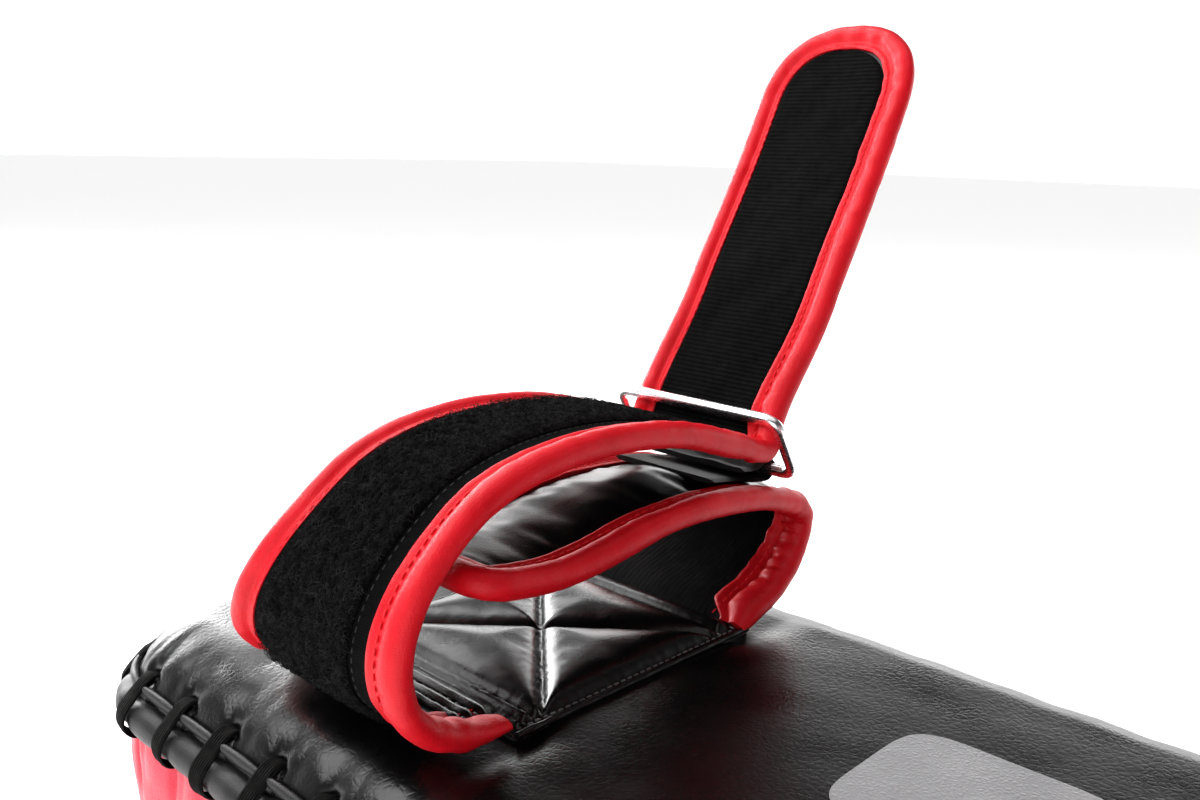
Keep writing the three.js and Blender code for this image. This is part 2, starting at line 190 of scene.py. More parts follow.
def add_mesh(name, points, faces, material, uv=None, weld=0.0):
    """A smooth-shaded mesh object from points in mm, its faces turned outward."""
    mesh = bpy.data.meshes.new(name)
    places = np.asarray(points, float).reshape(-1, 3) * MM
    mesh.from_pydata(places.tolist(), [], [list(map(int, face)) for face in faces])
    if uv is not None:
        layer = mesh.uv_layers.new(name="metric")
        corners = np.empty(len(mesh.loops), int)
        mesh.loops.foreach_get("vertex_index", corners)
        layer.data.foreach_set("uv", (np.asarray(uv, float).reshape(-1, 2) * MM)[corners].ravel())
    work = bmesh.new()
    work.from_mesh(mesh)
    if weld:
        bmesh.ops.remove_doubles(work, verts=work.verts, dist=weld * MM)
    bmesh.ops.recalc_face_normals(work, faces=work.faces)
    for face in work.faces:
        face.smooth = True
    work.to_mesh(mesh)
    work.free()
    mesh.set_sharp_from_angle(angle=math.radians(62))
    mesh.materials.append(material)
    piece = bpy.data.objects.new(name, mesh)
    bpy.context.scene.collection.objects.link(piece)
    return piece


def settle(piece, node=None, body="pad"):
    """Puts a piece on its body, in place of a CAD node if one is named."""
    if node:
        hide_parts(node)
    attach(piece, body)


def tube(name, rings, material, uv=None, closed=False):
    """A closed body from rings (n, m, 3) of a section, capped at both ends unless closed on itself."""
    count, size = rings.shape[:2]
    points = rings.reshape(-1, 3)
    if closed:
        faces = grid_faces(count + 1, size, True) % (count * size)
        return add_mesh(name, points, faces, material, uv)
    faces = grid_faces(count, size, True).tolist()
    points = np.vstack([points, rings[0].mean(0), rings[-1].mean(0)])
    head, tail = count * size, count * size + 1
    for k in range(size):
        follow = (k + 1) % size
        faces.append([head, follow, k])
        faces.append([tail, (count - 1) * size + k, (count - 1) * size + follow])
    if uv is not None:
        flat = np.asarray(uv, float).reshape(count, size, 2)
        uv = np.vstack([flat.reshape(-1, 2), flat[0].mean(0), flat[-1].mean(0)])
    return add_mesh(name, points, faces, material, uv)


def sheet(name, upper, lower, material, uv=None):
    """A closed body between two grids of points (rows, columns, 3)."""
    rows, columns = upper.shape[:2]
    count = rows * columns
    skin = grid_faces(rows, columns)
    index = np.arange(count).reshape(rows, columns)
    rim = np.concatenate([index[0], index[1:, -1], index[-1, -2::-1], index[-2:0:-1, 0]])
    after = np.roll(rim, -1)
    wall = np.stack([rim, rim + count, after + count, after], 1)
    points = np.vstack([upper.reshape(-1, 3), lower.reshape(-1, 3)])
    faces = np.vstack([skin, skin[:, ::-1] + count, wall])
    return add_mesh(name, points, faces, material, uv)


def layered(name, place, s, a, top, under, material):
    """A closed sheet between two height fields over the same grid."""
    uv = np.stack([a, s], 2).reshape(-1, 2)
    return sheet(name, place(s, a, top), place(s, a, under), material, np.vstack([uv, uv]))


def upright(s, a, h):
    """The place of a height field that stands on the pad: a along it, s across it."""
    return np.stack([a, s, h], -1)


def join(pieces, name):
    """Joins mesh pieces into the first one."""
    with bpy.context.temp_override(active_object=pieces[0], selected_editable_objects=pieces):
        bpy.ops.object.join()
    pieces[0].name = name
    return pieces[0]


def beads(name, centres, along, up, length, radius, material):
    """A row of thread stitches: one rounded bead for each centre, half sunk in the surface."""
    along, up = unit(along), unit(up)
    across = np.cross(along, up)
    stations = np.array([-0.5, -0.36, 0.0, 0.36, 0.5])
    sizes = np.array([0.25, 0.85, 1.0, 0.85, 0.25])
    angles = circle(6)
    flatness, bow = 0.75, 0.35 * (1 - (2 * stations) ** 2)
    forward = (stations * length)[None, :, None, None]
    rise = sizes[:, None] * np.sin(angles) * radius * flatness + (bow * radius)[:, None]
    aside = sizes[:, None] * np.cos(angles) * radius
    along, up, across, middle = (v[:, None, None, :] for v in (along, up, across, centres))
    points = middle + along * forward + up * rise[None, :, :, None] + across * aside[None, :, :, None]
    ends = np.array([[5, 4, 3, 2], [5, 2, 1, 0], [24, 25, 26, 27], [24, 27, 28, 29]])
    bead = np.vstack([grid_faces(5, 6, True), ends])
    faces = (np.arange(len(centres))[:, None, None] * 30 + bead[None]).reshape(-1, 4)
    return add_mesh(name, points, faces, material)


def seam_places(begin, end, start, stop, gap):
    """Evenly spaced points (n, 2) from begin to end, start and stop short of the ends, and the direction."""
    begin, end = np.array(begin, float), np.array(end, float)
    run = np.hypot(*(end - begin))
    share = np.arange(start, run - stop, gap) / run
    return begin + (end - begin) * share[:, None], end - begin


# ---------------------------------------------------------------- materials
def add_node(tree, kind, links=(), **values):
    """A shader node: values set its properties or sockets, and links maps sockets to their sources."""
    made = tree.nodes.new(kind)
    for key, value in values.items():
        if hasattr(made, key):
            setattr(made, key, value)
        else:
            made.inputs[key.replace("_", " ")].default_value = value
    for socket, source in dict(links).items():
        tree.links.new(source, made.inputs[socket])
    return made


class Shade:
    """A small builder for one node material."""

    def __init__(self, name, colour, roughness, **sockets):
        self.material = bpy.data.materials.new(name)
        self.material.use_nodes = True
        self.tree = self.material.node_tree
        self.inputs = self.tree.nodes["Principled BSDF"].inputs
        self.inputs["Base Color"].default_value = (*colour, 1)
        self.inputs["Roughness"].default_value = roughness
        for socket, value in sockets.items():
            self.inputs[socket.replace("_", " ")].default_value = value
        self.place = self.node("ShaderNodeTexCoord").outputs["Object"]
        self.metric = self.node("ShaderNodeTexCoord").outputs["UV"]
        self.bump_end = None

    def node(self, kind, links=(), **values):
        return add_node(self.tree, kind, links, **values)

    def noise(self, scale, detail=4.0, distortion=0.0, stretch=None):
        source = self.place
        if stretch:
            source = self.node("ShaderNodeMapping", {"Vector": source}, Scale=stretch).outputs["Vector"]
        return self.node("ShaderNodeTexNoise", {"Vector": source}, Scale=scale, Detail=detail,
                         Distortion=distortion).outputs["Fac"]

    def cells(self, scale, feature="DISTANCE_TO_EDGE", jitter=1.0):
        return self.node("ShaderNodeTexVoronoi", {"Vector": self.place}, feature=feature, Scale=scale,
                         Randomness=jitter).outputs["Distance"]

    def creases(self, scale, top):
        """Narrow hollows between cells."""
        made = self.node("ShaderNodeMath", {0: self.cells(scale)}, operation="MINIMUM")
        made.inputs[1].default_value = top
        return made.outputs["Value"]

    def ribs(self, scale, direction):
        return self.node("ShaderNodeTexWave", {"Vector": self.metric}, wave_type="BANDS", Scale=scale,
                         bands_direction=direction, Distortion=0.25, Detail=1.0).outputs["Fac"]

    def rough(self, value, low, high, start=0.0, end=1.0):
        span = {"From_Min": start, "From_Max": end, "To_Min": low, "To_Max": high}
        made = self.node("ShaderNodeMapRange", {"Value": value}, **span)
        self.tree.links.new(made.outputs["Result"], self.inputs["Roughness"])

    def tint(self, value, first, second, start=0.35, end=0.65):
        made = self.node("ShaderNodeValToRGB", {"Fac": value})
        for stop, place, colour in zip(made.color_ramp.elements, (start, end), (first, second)):
            stop.position = place
            stop.color = (*colour, 1)
        self.tree.links.new(made.outputs["Color"], self.inputs["Base Color"])

    def bump(self, height, distance, strength):
        links = {"Height": height}
        if self.bump_end:
            links["Normal"] = self.bump_end
        made = self.node("ShaderNodeBump", links, Distance=distance * MM, Strength=strength)
        self.bump_end = made.outputs["Normal"]
        self.tree.links.new(self.bump_end, self.inputs["Normal"])


def recipe(name, colour, roughness, tint, rough=None, bumps=(), **sockets):
    """A material from tables. tint is (noise settings, first colour, second colour, start, end), rough is
    (noise settings, low, high, start, end) and each bump is (texture, its settings, depth, strength)."""
    made = Shade(name, colour, roughness, **sockets)
    made.tint(made.noise(*tint[0]), *tint[1:])
    if rough:
        made.rough(made.noise(*rough[0]), *rough[1:])
    for texture, settings, depth, strength in bumps:
        made.bump(getattr(made, texture)(*settings), depth, strength)
    return made.material


def grey(value, blue=None):
    return (value, value, value if blue is None else blue)


def leather(name, colour, worn, roughness, grain=0.12, coat=0.0, cell=900.0):
    """Grained leather: creased cells, fine pores and softly uneven shine."""
    bumps = [("noise", (75.0, 3.0, 0.4), grain * 2.0, 0.2), ("creases", (cell, 0.22), grain * 1.7, 0.5),
             ("creases", (cell * 0.3, 0.10), grain * 2.0, 0.22), ("noise", (1500.0, 2.0), grain * 0.4, 0.3)]
    return recipe(name, colour, roughness, ((22.0, 3.0), colour, worn),
                  ((45.0, 3.0), roughness - 0.035, roughness + 0.05, 0.3, 0.7), bumps,
                  Coat_Weight=coat, Coat_Roughness=0.22, Specular_IOR_Level=0.42)


def cloth(name, colour, second, roughness, across, along, depth, shine):
    """Woven or ribbed cloth from the metric map: ribs both ways, with uneven yarns."""
    made = Shade(name, colour, roughness, Specular_IOR_Level=shine)
    made.tint(made.noise(420.0, 4.0), colour, second)
    wobble = made.noise(130.0, 2.0)
    first, crossing = made.ribs(across, "X"), made.ribs(along, "Y")
    weave = made.node("ShaderNodeMath", {0: first, 1: crossing}, operation="MULTIPLY").outputs["Value"]
    made.bump(wobble, depth, 0.6)
    made.bump(crossing, depth * 1.3, 0.9)
    made.bump(weave, depth, 0.8)
    made.rough(wobble, roughness - 0.08, roughness + 0.06)
    return made.material


def thread(name, colour, shine):
    bright = tuple(min(1, 1.5 * c + 0.01) for c in colour)
    return recipe(name, colour, 0.55, ((600.0, 3.0), colour, bright),
                  bumps=[("noise", (2200.0, 2.0, 0.0, (1, 1, 3)), 0.12, 0.8)], Specular_IOR_Level=shine)


def foam(name, colour, scale):
    return recipe(name, colour, 0.9, ((90.0, 4.0), colour, tuple(0.8 * c for c in colour)),
                  bumps=[("cells", (scale, "F1"), 0.5, 0.8)])


BLACK = leather("back_leather", grey(0.003, 0.0033), grey(0.0045, 0.0048), 0.27, 0.15, 0.0, 430.0)
GLOSS = leather("cushion_leather", grey(0.0055, 0.006), grey(0.009, 0.010), 0.26, 0.12, 0.15, 1000.0)
FLAP_SKIN = leather("flap_leather", grey(0.005, 0.0055), grey(0.008, 0.009), 0.30, 0.11, 0.1, 1000.0)
STRAP_LEATHER = leather("strap_leather", grey(0.005, 0.0055), grey(0.008, 0.009), 0.4)
KEEPER_SKIN = leather("keeper_leather", grey(0.003, 0.0033), grey(0.006, 0.0065), 0.55)
PIPING_SKIN = leather("piping_leather", grey(0.009, 0.0095), grey(0.014, 0.015), 0.46, 0.16)
STRAP_SKIN = cloth("strap_webbing", grey(0.003, 0.0035), grey(0.005, 0.0055), 0.85, 520.0, 380.0, 0.08, 0.08)
HOOK = cloth("hook_tape", grey(0.0015), grey(0.004, 0.0038), 0.85, 330.0, 190.0, 0.13, 0.1)
LINING = cloth("lining_cloth", grey(0.003, 0.0035), grey(0.007, 0.0074), 0.75, 210.0, 900.0, 0.22, 0.16)
LACE = cloth("lace_cord", grey(0.0025), (0.008, 0.0075, 0.007), 0.88, 300.0, 40.0, 0.45, 0.14)
RED_THREAD = thread("red_thread", (0.62, 0.011, 0.022), 0.3)
BLACK_THREAD = thread("black_thread", grey(0.006), 0.3)
# Pale grey thread: its paleness is a painted highlight, standing in for light caught along the cushion's
# seams and near edge.
PAINTED_HIGHLIGHT_THREAD = thread("painted_highlight_thread", grey(0.10), 0.5)
DENSE_FOAM = foam("dense_foam", grey(0.30, 0.32), 500.0)
SOFT_FOAM = foam("soft_foam", (0.62, 0.55, 0.38), 320.0)
# Soft satin leathercloth with a fine cross texture and a tone that varies at random.
RED = recipe("red_binding", (0.66, 0.010, 0.022), 0.42,
             ((70.0, 5.0), (0.60, 0.006, 0.016), (0.74, 0.014, 0.028), 0.3, 0.7), ((300.0, 3.0), 0.36, 0.52),
             [("noise", (150.0, 5.0, 0.8), 0.5, 0.6),
              ("cells", (1150.0, "DISTANCE_TO_EDGE", 0.45), 0.16, 0.8),
              ("noise", (2600.0, 2.0), 0.06, 0.6)], Specular_IOR_Level=0.32)
RED_SIDE = recipe("red_side", (0.72, 0.05, 0.085), 0.40,
                  ((40.0, 5.0), (0.60, 0.03, 0.058), (0.70, 0.05, 0.085), 0.3, 0.7),
                  ((260.0, 3.0), 0.34, 0.5),
                  [("noise", (120.0, 4.0, 0.6), 0.28, 0.5), ("cells", (760.0,), 0.22, 0.8)],
                  Specular_IOR_Level=0.45)
# Brushed loop pile: matt felt, with its yarns as a material of their own.
PILE = recipe("loop_pile", grey(0.005, 0.0055), 0.95,
              ((900.0, 6.0), grey(0.0015, 0.0018), grey(0.010, 0.011), 0.4, 0.7),
              bumps=[("noise", (520.0, 6.0, 2.5), 0.9, 0.9), ("noise", (1800.0, 3.0, 1.5), 0.35, 0.8)],
              Sheen_Weight=0.04, Sheen_Roughness=0.5, Specular_IOR_Level=0.08)
FIBRE = recipe("pile_fibre", grey(0.008, 0.009), 0.75,
               ((300.0, 2.0), grey(0.004, 0.0045), grey(0.030, 0.031)),
               bumps=[("noise", (3000.0, 2.0), 0.05, 0.5)], Specular_IOR_Level=0.12)
PATCH_FILM = recipe("patch_film", (0.24, 0.245, 0.25), 0.42,
                    ((35.0, 5.0), (0.21, 0.215, 0.22), (0.27, 0.275, 0.28), 0.3, 0.7),
                    bumps=[("noise", (150.0, 5.0, 0.6), 0.25, 0.5), ("cells", (620.0,), 0.3, 0.7)])
CHROME = Shade("chromed_steel", grey(0.93, 0.94), 0.2, Metallic=1.0)
CHROME.rough(CHROME.noise(260.0, 6.0, 0.0, (1, 6, 6)), 0.22, 0.36, 0.3, 0.75)
CHROME.bump(CHROME.noise(700.0, 4.0, 0.0, (0.2, 2, 2)), 0.02, 0.4)


# ---------------------------------------------------------------- cloth
def inflated(name, place, pinned, slack, pressure, bending, share):
    """Simulates a stitched sheet from a grid of points in mm: pinned points stay, the rest puffs up.
    share is how much of each point's movement is kept."""
    frames, limit = 20, 9.0
    rows, columns = place.shape[:2]
    start = place.reshape(-1, 3)
    mesh = bpy.data.meshes.new(name)
    mesh.from_pydata((start * MM).tolist(), [], grid_faces(rows, columns).tolist())
    sheet_object = bpy.data.objects.new(name, mesh)
    scene = bpy.context.scene
    scene.collection.objects.link(sheet_object)
    group = sheet_object.vertex_groups.new(name="sewn")
    group.add([int(k) for k in np.flatnonzero(pinned.ravel())], 1.0, "REPLACE")
    modifier = sheet_object.modifiers.new("cloth", "CLOTH")
    values = dict(quality=6, mass=0.15, tension_stiffness=18, compression_stiffness=4, shear_stiffness=6,
                  bending_stiffness=bending, tension_damping=12, air_damping=4, vertex_group_mass="sewn",
                  shrink_min=-slack, use_pressure=True, uniform_pressure_force=pressure)
    for key, value in values.items():
        setattr(modifier.settings, key, value)
    modifier.settings.effector_weights.gravity = 0
    modifier.collision_settings.use_collision = False
    modifier.collision_settings.use_self_collision = False
    modifier.point_cache.frame_end = frames
    for number in range(1, frames + 1):
        scene.frame_set(number)
    evaluated = sheet_object.evaluated_get(bpy.context.evaluated_depsgraph_get())
    settled = np.empty(start.size)
    evaluated.data.vertices.foreach_get("co", settled)
    moved = settled.reshape(-1, 3) / MM - start
    scene.frame_set(1)
    bpy.data.objects.remove(sheet_object)
    reach = np.linalg.norm(moved, axis=1, keepdims=True)
    moved *= share * np.minimum(1, limit / np.maximum(reach, 1e-6))
    return place + moved.reshape(place.shape)


# ---------------------------------------------------------------- pad body
SIDE_POINTS, END_POINTS, CORNER_POINTS = 290, 92, 46
SIDE_LENGTH = 2 * (PAD_HALF_X - PAD_RADIUS)
END_LENGTH = 2 * (PAD_HALF_Y - PAD_RADIUS)
CORNER_LENGTH = math.pi / 2 * PAD_RADIUS
PERIMETER = 2 * (SIDE_LENGTH + END_LENGTH) + 4 * CORNER_LENGTH
PITCH = PERIMETER / WRAPS
HOLE_UP = 10.0
SLANT = 4.6
WRAP_PHASE = RNG.uniform(0, 2 * math.pi, WRAPS)
WRAP_LEAN = RNG.uniform(-1, 1, WRAPS)
WRAP_SIZE = RNG.uniform(0.8, 1.2, WRAPS)


def pad_outline(inset):
    """Points (n, 2) round the pad at that inset, from the middle of the elbow end, and their outward
    directions."""
    half_x, half_y = PAD_HALF_X - inset, PAD_HALF_Y - inset
    radius = min(max(PAD_RADIUS - inset, 9.0), half_y * 0.95)
    core_x, core_y = half_x - radius, half_y - radius
    half_end = np.arange(END_POINTS // 2) / (END_POINTS // 2)
    whole_end = np.arange(END_POINTS) / END_POINTS
    long = np.arange(SIDE_POINTS) / SIDE_POINTS
    turn = np.arange(CORNER_POINTS) / CORNER_POINTS * math.pi / 2
    runs = []

    def straight(start, end, share, normal):
        line = np.array(start)[None] + (np.array(end) - np.array(start))[None] * share[:, None]
        runs.append(np.hstack([line, np.tile(normal, (len(share), 1))]))

    def corner(x, y, begin):
        c, s = np.cos(begin + turn), np.sin(begin + turn)
        runs.append(np.stack([x + radius * c, y + radius * s, c, s], 1))

    straight((-half_x, 0), (-half_x, -core_y), half_end, (-1, 0))
    corner(-core_x, -core_y, math.pi)
    straight((-core_x, -half_y), (core_x, -half_y), long, (0, -1))
    corner(core_x, -core_y, -math.pi / 2)
    straight((half_x, -core_y), (half_x, core_y), whole_end, (1, 0))
    corner(core_x, core_y, 0)
    straight((core_x, half_y), (-core_x, half_y), long, (0, 1))
    corner(-core_x, core_y, math.pi / 2)
    straight((-half_x, core_y), (-half_x, 0), half_end, (-1, 0))
    made = np.vstack(runs)
    return made[:, :2], made[:, 2:]


EDGE, EDGE_OUT = pad_outline(0.0)
ALONG = travel(EDGE)
ALONG *= PERIMETER / (ALONG[-1] + np.linalg.norm(EDGE[0] - EDGE[-1]))


def edge_at(s):
    """Place and outward direction on the pad's outer edge at distance s."""
    wrapped = np.mod(s, PERIMETER)
    extended = np.append(ALONG, PERIMETER)
    columns = np.hstack([EDGE, EDGE_OUT]).T
    x, y, nx, ny = (np.interp(wrapped, extended, np.append(column, column[0])) for column in columns)
    size = np.hypot(nx, ny)
    return x, y, nx / size, ny / size


def nearest_wrap(s, shift):
    """Which wrap of the lace is nearest to distance s, and how far past it that is."""
    along = np.mod(s - shift, PERIMETER)
    index = np.clip(np.floor(along / PITCH).astype(int), 0, WRAPS - 1)
    return index, along - (index + 0.5) * PITCH


def lace_pull(s, v):
    """How far the back panel stands off its plain shape near the lacing; v is the distance up from the
    piping."""
    index, ds = nearest_wrap(s, SLANT / 2)
    size, lean, phase = WRAP_SIZE[index], WRAP_LEAN[index], WRAP_PHASE[index]
    up = v - HOLE_UP
    above = np.maximum(up, 0)
    r, turn = np.hypot(ds, up), np.arctan2(ds, up)
    dimple = -2.8 * size * bell(r, 3.2)
    pucker = 0.5 * np.exp(-r / 6) * smoothstep(r, 2, 5) * np.cos(6 * turn + phase)
    bent = ds - lean * 0.16 * above
    fold = -0.7 * size * bell(bent, 3.4 + 0.14 * above)
    fold = fold * smoothstep(v, HOLE_UP - 4, HOLE_UP + 3) * (1 - smoothstep(v, HOLE_UP + 6, HOLE_UP + 30))
    second = bent + 9.5 * np.sign(lean)
    crease = -0.35 * bell(second, 2.6) * smoothstep(v, 4, 12) * (1 - smoothstep(v, 16, 34))
    bulge = 0.5 * np.sin(math.pi * ds / PITCH) ** 2 * bell(v, 16)
    return dimple + pucker + fold + crease + bulge


def shell(name, node, profile, lift, material):
    """A leather panel round the pad. profile rows are (inset, z, normal out, normal up, distance up), and
    lift(s, v, x, y) is how far each point stands off."""
    rings, behind = [], []
    for inset, z, out, up, v in profile[::-1]:
        line, normal = pad_outline(inset)
        height = lift(ALONG, np.full(len(ALONG), v), line[:, 0], line[:, 1])
        rings.append(np.column_stack([line + normal * out * height[:, None], z + up * height]))
    for inset, z, out, up, v in profile[:: max(1, len(profile) // 9)]:
        line, _ = pad_outline(min(inset + LEATHER * abs(out), PAD_HALF_Y - 1))
        behind.append(np.column_stack([line, np.full(len(line), z - up * LEATHER)]))
    stack = np.array(rings + behind)
    faces = grid_faces(len(stack), stack.shape[1], True)
    piece = add_mesh(name, stack, faces, material, weld=0.03)
    settle(piece, node)


def rounded(radius, start, steps, level, side, begin, flat_steps):
    """Profile rows of a panel that turns over a rounded edge and runs flat to the middle. level is the
    height of its flat, side is 1 on top and -1 below, and begin is the distance where the turn starts."""
    rows = []
    for angle in np.linspace(start, math.pi / 2, steps):
        out, up = math.cos(angle), math.sin(angle)
        height = level + side * radius * (up - 1)
        rows.append((radius * (1 - out), height, out, side * up, begin + radius * (angle - start)))
    reach = rows[-1][4] - radius
    return rows + [(inset, level, 0.0, side, reach + inset)
                   for inset in np.linspace(radius, PAD_MIDDLE, flat_steps)[1:]]


def back_lift(s, v, x, y):
    """The back panel's puckers and slack, drawn down beside each cuff's sewn feet."""
    broad = 0.2 * waves(x, y, 110, 3) * smoothstep(v, 10, 50)
    slack = 0.06 * waves(x, y, 30, 4) * smoothstep(v, 6, 30)
    near = 0
    for cuff in CUFFS.values():
        half = (STRAP_WIDTH + cuff["flare"]) / 2
        reach = np.hypot(np.maximum(np.abs(x - cuff["near"] + half) - half, 0) / 9,
                         np.maximum(np.abs(np.abs(y) - 63) - 12, 0) / 9)
        near -= 1.5 * bell(reach, 1)
    return lace_pull(s, v) + broad + slack + near


def band_lift(s, z, x, y):
    """The side band's belly, and its creases under each hole of the lace."""
    index, ds = nearest_wrap(s, -SLANT / 2)
    depth = PIPING_Z - 9 - z
    below = np.maximum(depth, 0)
    size, lean = WRAP_SIZE[index], WRAP_LEAN[index]
    bent = ds - lean * 0.10 * below
    crease = -2.3 * size * bell(bent, 1.3 + 0.055 * below) * (1 - smoothstep(depth, 3, 30))
    side = -0.8 * bell(bent - 7 * np.sign(lean), 1.8) * (1 - smoothstep(depth, 0, 16))
    bulge = 1.2 * np.sin(math.pi * ds / PITCH) ** 2 * bell(depth, 18)
    belly = 2.2 * np.sin(math.pi * np.clip((z - BAND_BOTTOM) / (PIPING_Z - BAND_BOTTOM), 0, 1))
    tuck = -1.6 * (1 - smoothstep(z, BAND_BOTTOM - 1, BAND_BOTTOM + 4))
    return crease + side + bulge + belly + tuck + 0.3 * waves(s, z, 24, 5) * smoothstep(z, BAND_BOTTOM, 30)


def toe_lift(s, v, x, y):
    """The striking panel's raised seam, its gathers at the corner, and a nearly flat face."""
    seam = 0.9 * bell(v - 3, 2.2)
    gather = 0.35 * np.sin(s * 2 * math.pi / 8.5 + 2 * waves(s, v, 60, 8)) * bell(v, 7)
    flat = -0.25 * np.abs(waves(x, y, 60, 9)) * smoothstep(v, 10, 30)
    return seam + gather + flat


def pad_body():
    back = rounded(SHOULDER, math.asin((PIPING_RADIUS - 2.5) / SHOULDER), 30, PAD_TOP, 1, 0.0, 29)
    shell("back_panel_skin", "back_panel", back, back_lift, BLACK)
    band = [(0.6, z, 1.0, 0.0, z) for z in np.linspace(BAND_BOTTOM - 1.5, PIPING_Z - 2.0, 38)]
    shell("side_band_skin", "side_band", band, band_lift, RED_SIDE)
    toe = [(0.4, BAND_BOTTOM - 0.4, 1.0, 0.0, 0.0), (0.0, BAND_BOTTOM - 1.6, 1.0, 0.0, 1.5)]
    toe += rounded(TOE, 0.0, 16, 0.0, -1, BAND_BOTTOM - TOE, 24)
    shell("striking_panel_skin", "striking_panel", toe, toe_lift, BLACK)
    s = np.arange(0, PERIMETER - 2, 4.0)
    x, y, nx, ny = edge_at(s)
    flat = np.zeros_like(x)
    along, outward = np.stack([-ny, nx, flat], 1), np.stack([nx, ny, flat], 1)
    for name, z, out, material in (("seam_thread_band", BAND_BOTTOM + 4.0, -0.35, RED_THREAD),
                                   ("seam_thread_toe", BAND_BOTTOM - 3.4, 0.75, BLACK_THREAD)):
        centres = np.stack([x + nx * out, y + ny * out, flat + z], 1)
        settle(beads(name, centres, along, outward, 3.0, 0.55, material))
    round_edge("seam_piping_roll", 0.4, PIPING_Z, PIPING_RADIUS, PIPING_RADIUS + 0.2, 0.16, 18, "seam_piping")
    round_edge("seam_ridge", -0.35, PIPING_Z + 9.6, 1.35, 1.9, 0.25, 12)
    round_edge("seam_welt", 0.4, PIPING_Z - 7.0, 1.5, 1.5, 0.2, 10)
    lace()
    foams()


def round_edge(name, offset, z, radius_out, radius_up, pinch, sides, node=None):
    """A roll that runs all round the pad's seam, drawn in where the lace holds it."""
    angles = circle(sides)[None]
    _, ds = nearest_wrap(ALONG, 0.0)
    held = 1 - pinch * bell(ds, 4.5) + 0.04 * np.sin(math.pi * ds / PITCH) ** 2
    swell = (held + 0.02 * waves(ALONG, 0, 9, 12))[:, None]
    out = offset + radius_out * np.cos(angles) * swell
    up = z + radius_up * np.sin(angles) * swell
    rings = np.concatenate([EDGE[:, None] + EDGE_OUT[:, None] * out[..., None], up[..., None]], 2)
    settle(tube(name, rings, PIPING_SKIN, closed=True), node)


LACE_LINE = [(-9.5, 80.0), (-6.6, 82.8), (-3.9, 83.5), (-1.3, 82.2), (0.9, 79.9), (3.5, 76.8), (6.1, 73.4),
             (7.0, 69.6), (6.0, 65.9), (3.8, 63.4), (1.2, 61.9), (-1.8, 61.2), (-6.6, 60.6)]


def lace():
    """One flat wrap over the piping for each pitch, each a little different, joined in one piece."""
    line = refined(LACE_LINE, 2)
    tangent = unit(np.gradient(line, axis=0))
    normal = np.stack([-tangent[:, 1], tangent[:, 0]], 1)
    normal *= np.sign((normal * (line - np.array([-1.0, 71.0]))).sum(1, keepdims=True))
    share = np.linspace(0, 1, len(line))
    angles = circle(26)
    across = np.sign(np.cos(angles)) * np.abs(np.cos(angles)) ** 0.4
    curl = 0.2 * across**2
    width = WRAP_WIDTH / 2 * (0.80 + 0.3 * np.sin(math.pi * np.clip(share * 1.05, 0, 1)))
    width = width * (1 - 0.62 * smoothstep(share, 0.72, 0.97)) * (1 - 0.25 * smoothstep(-share, -0.16, 0))
    offset = across[None] * width[:, None]
    swell = 0.52 + 0.45 * smoothstep(share, 0.75, 1.0) + 0.3 * (1 - smoothstep(share, 0.05, 0.3))
    wraps = []
    for k in range(WRAPS):
        lean = SLANT * (0.5 - share) + RNG.uniform(-0.8, 0.8) * np.sin(share * math.pi)
        thick = swell + 0.06 * np.sin(9 * share + k)
        ribs = 1 + 0.22 * np.cos(across * (8.0 + k % 3) + k)
        height = np.sin(angles)[None] * thick[:, None] * ribs[None] - curl[None]
        height = height + 0.10 * math.sin(k * 1.7) * offset
        x, y, nx, ny = edge_at((k + 0.5) * PITCH + lean[:, None] + offset)
        out = line[:, None, 0] + normal[:, None, 0] * height
        up = line[:, None, 1] + normal[:, None, 1] * height
        uv = np.stack([offset, np.broadcast_to((share * 42)[:, None], offset.shape)], 2)
        wraps.append(tube(f"wrap_{k}", np.stack([x + nx * out, y + ny * out, up], 2), LACE, uv))
    joined = join(wraps, "seam_lace_wraps")
    settle(joined, "seam_lace")


def foams():
    """The three foam slabs inside, each a rounded block with softly uneven faces."""
    bevel, flat_from = 4.0, 14.0
    for node, material, slot in (("foam_striking_dense", DENSE_FOAM, "dense_foam"),
                                 ("foam_core", DENSE_FOAM, "dense_foam"),
                                 ("foam_back_soft", SOFT_FOAM, "soft_foam")):
        low, high = node_box(node)
        inset = PAD_HALF_X - high[0]
        flat = np.linspace(inset + flat_from, PAD_MIDDLE, 8)
        rows = [(value, low[2]) for value in flat[::-1]]
        for angle in np.linspace(-math.pi / 2, math.pi / 2, 9):
            z = (low[2] + bevel if angle < 0 else high[2] - bevel) + bevel * math.sin(angle)
            rows.append((inset + 1.5 + bevel * (1 - math.cos(angle)), z))
        rows += [(value, high[2]) for value in flat]
        rings = []
        for value, z in rows:
            line, _ = pad_outline(max(value, SHOULDER if z > PAD_TOP - SHOULDER + 14 else value))
            line = line[::4]
            rings.append(np.column_stack([line, z + 0.3 * waves(line[:, 0], line[:, 1], 40, 21)]))
        faces = grid_faces(len(rings), len(rings[0]), True)
        settle(add_mesh(node + "_block", np.array(rings), faces, material, weld=0.03), node)


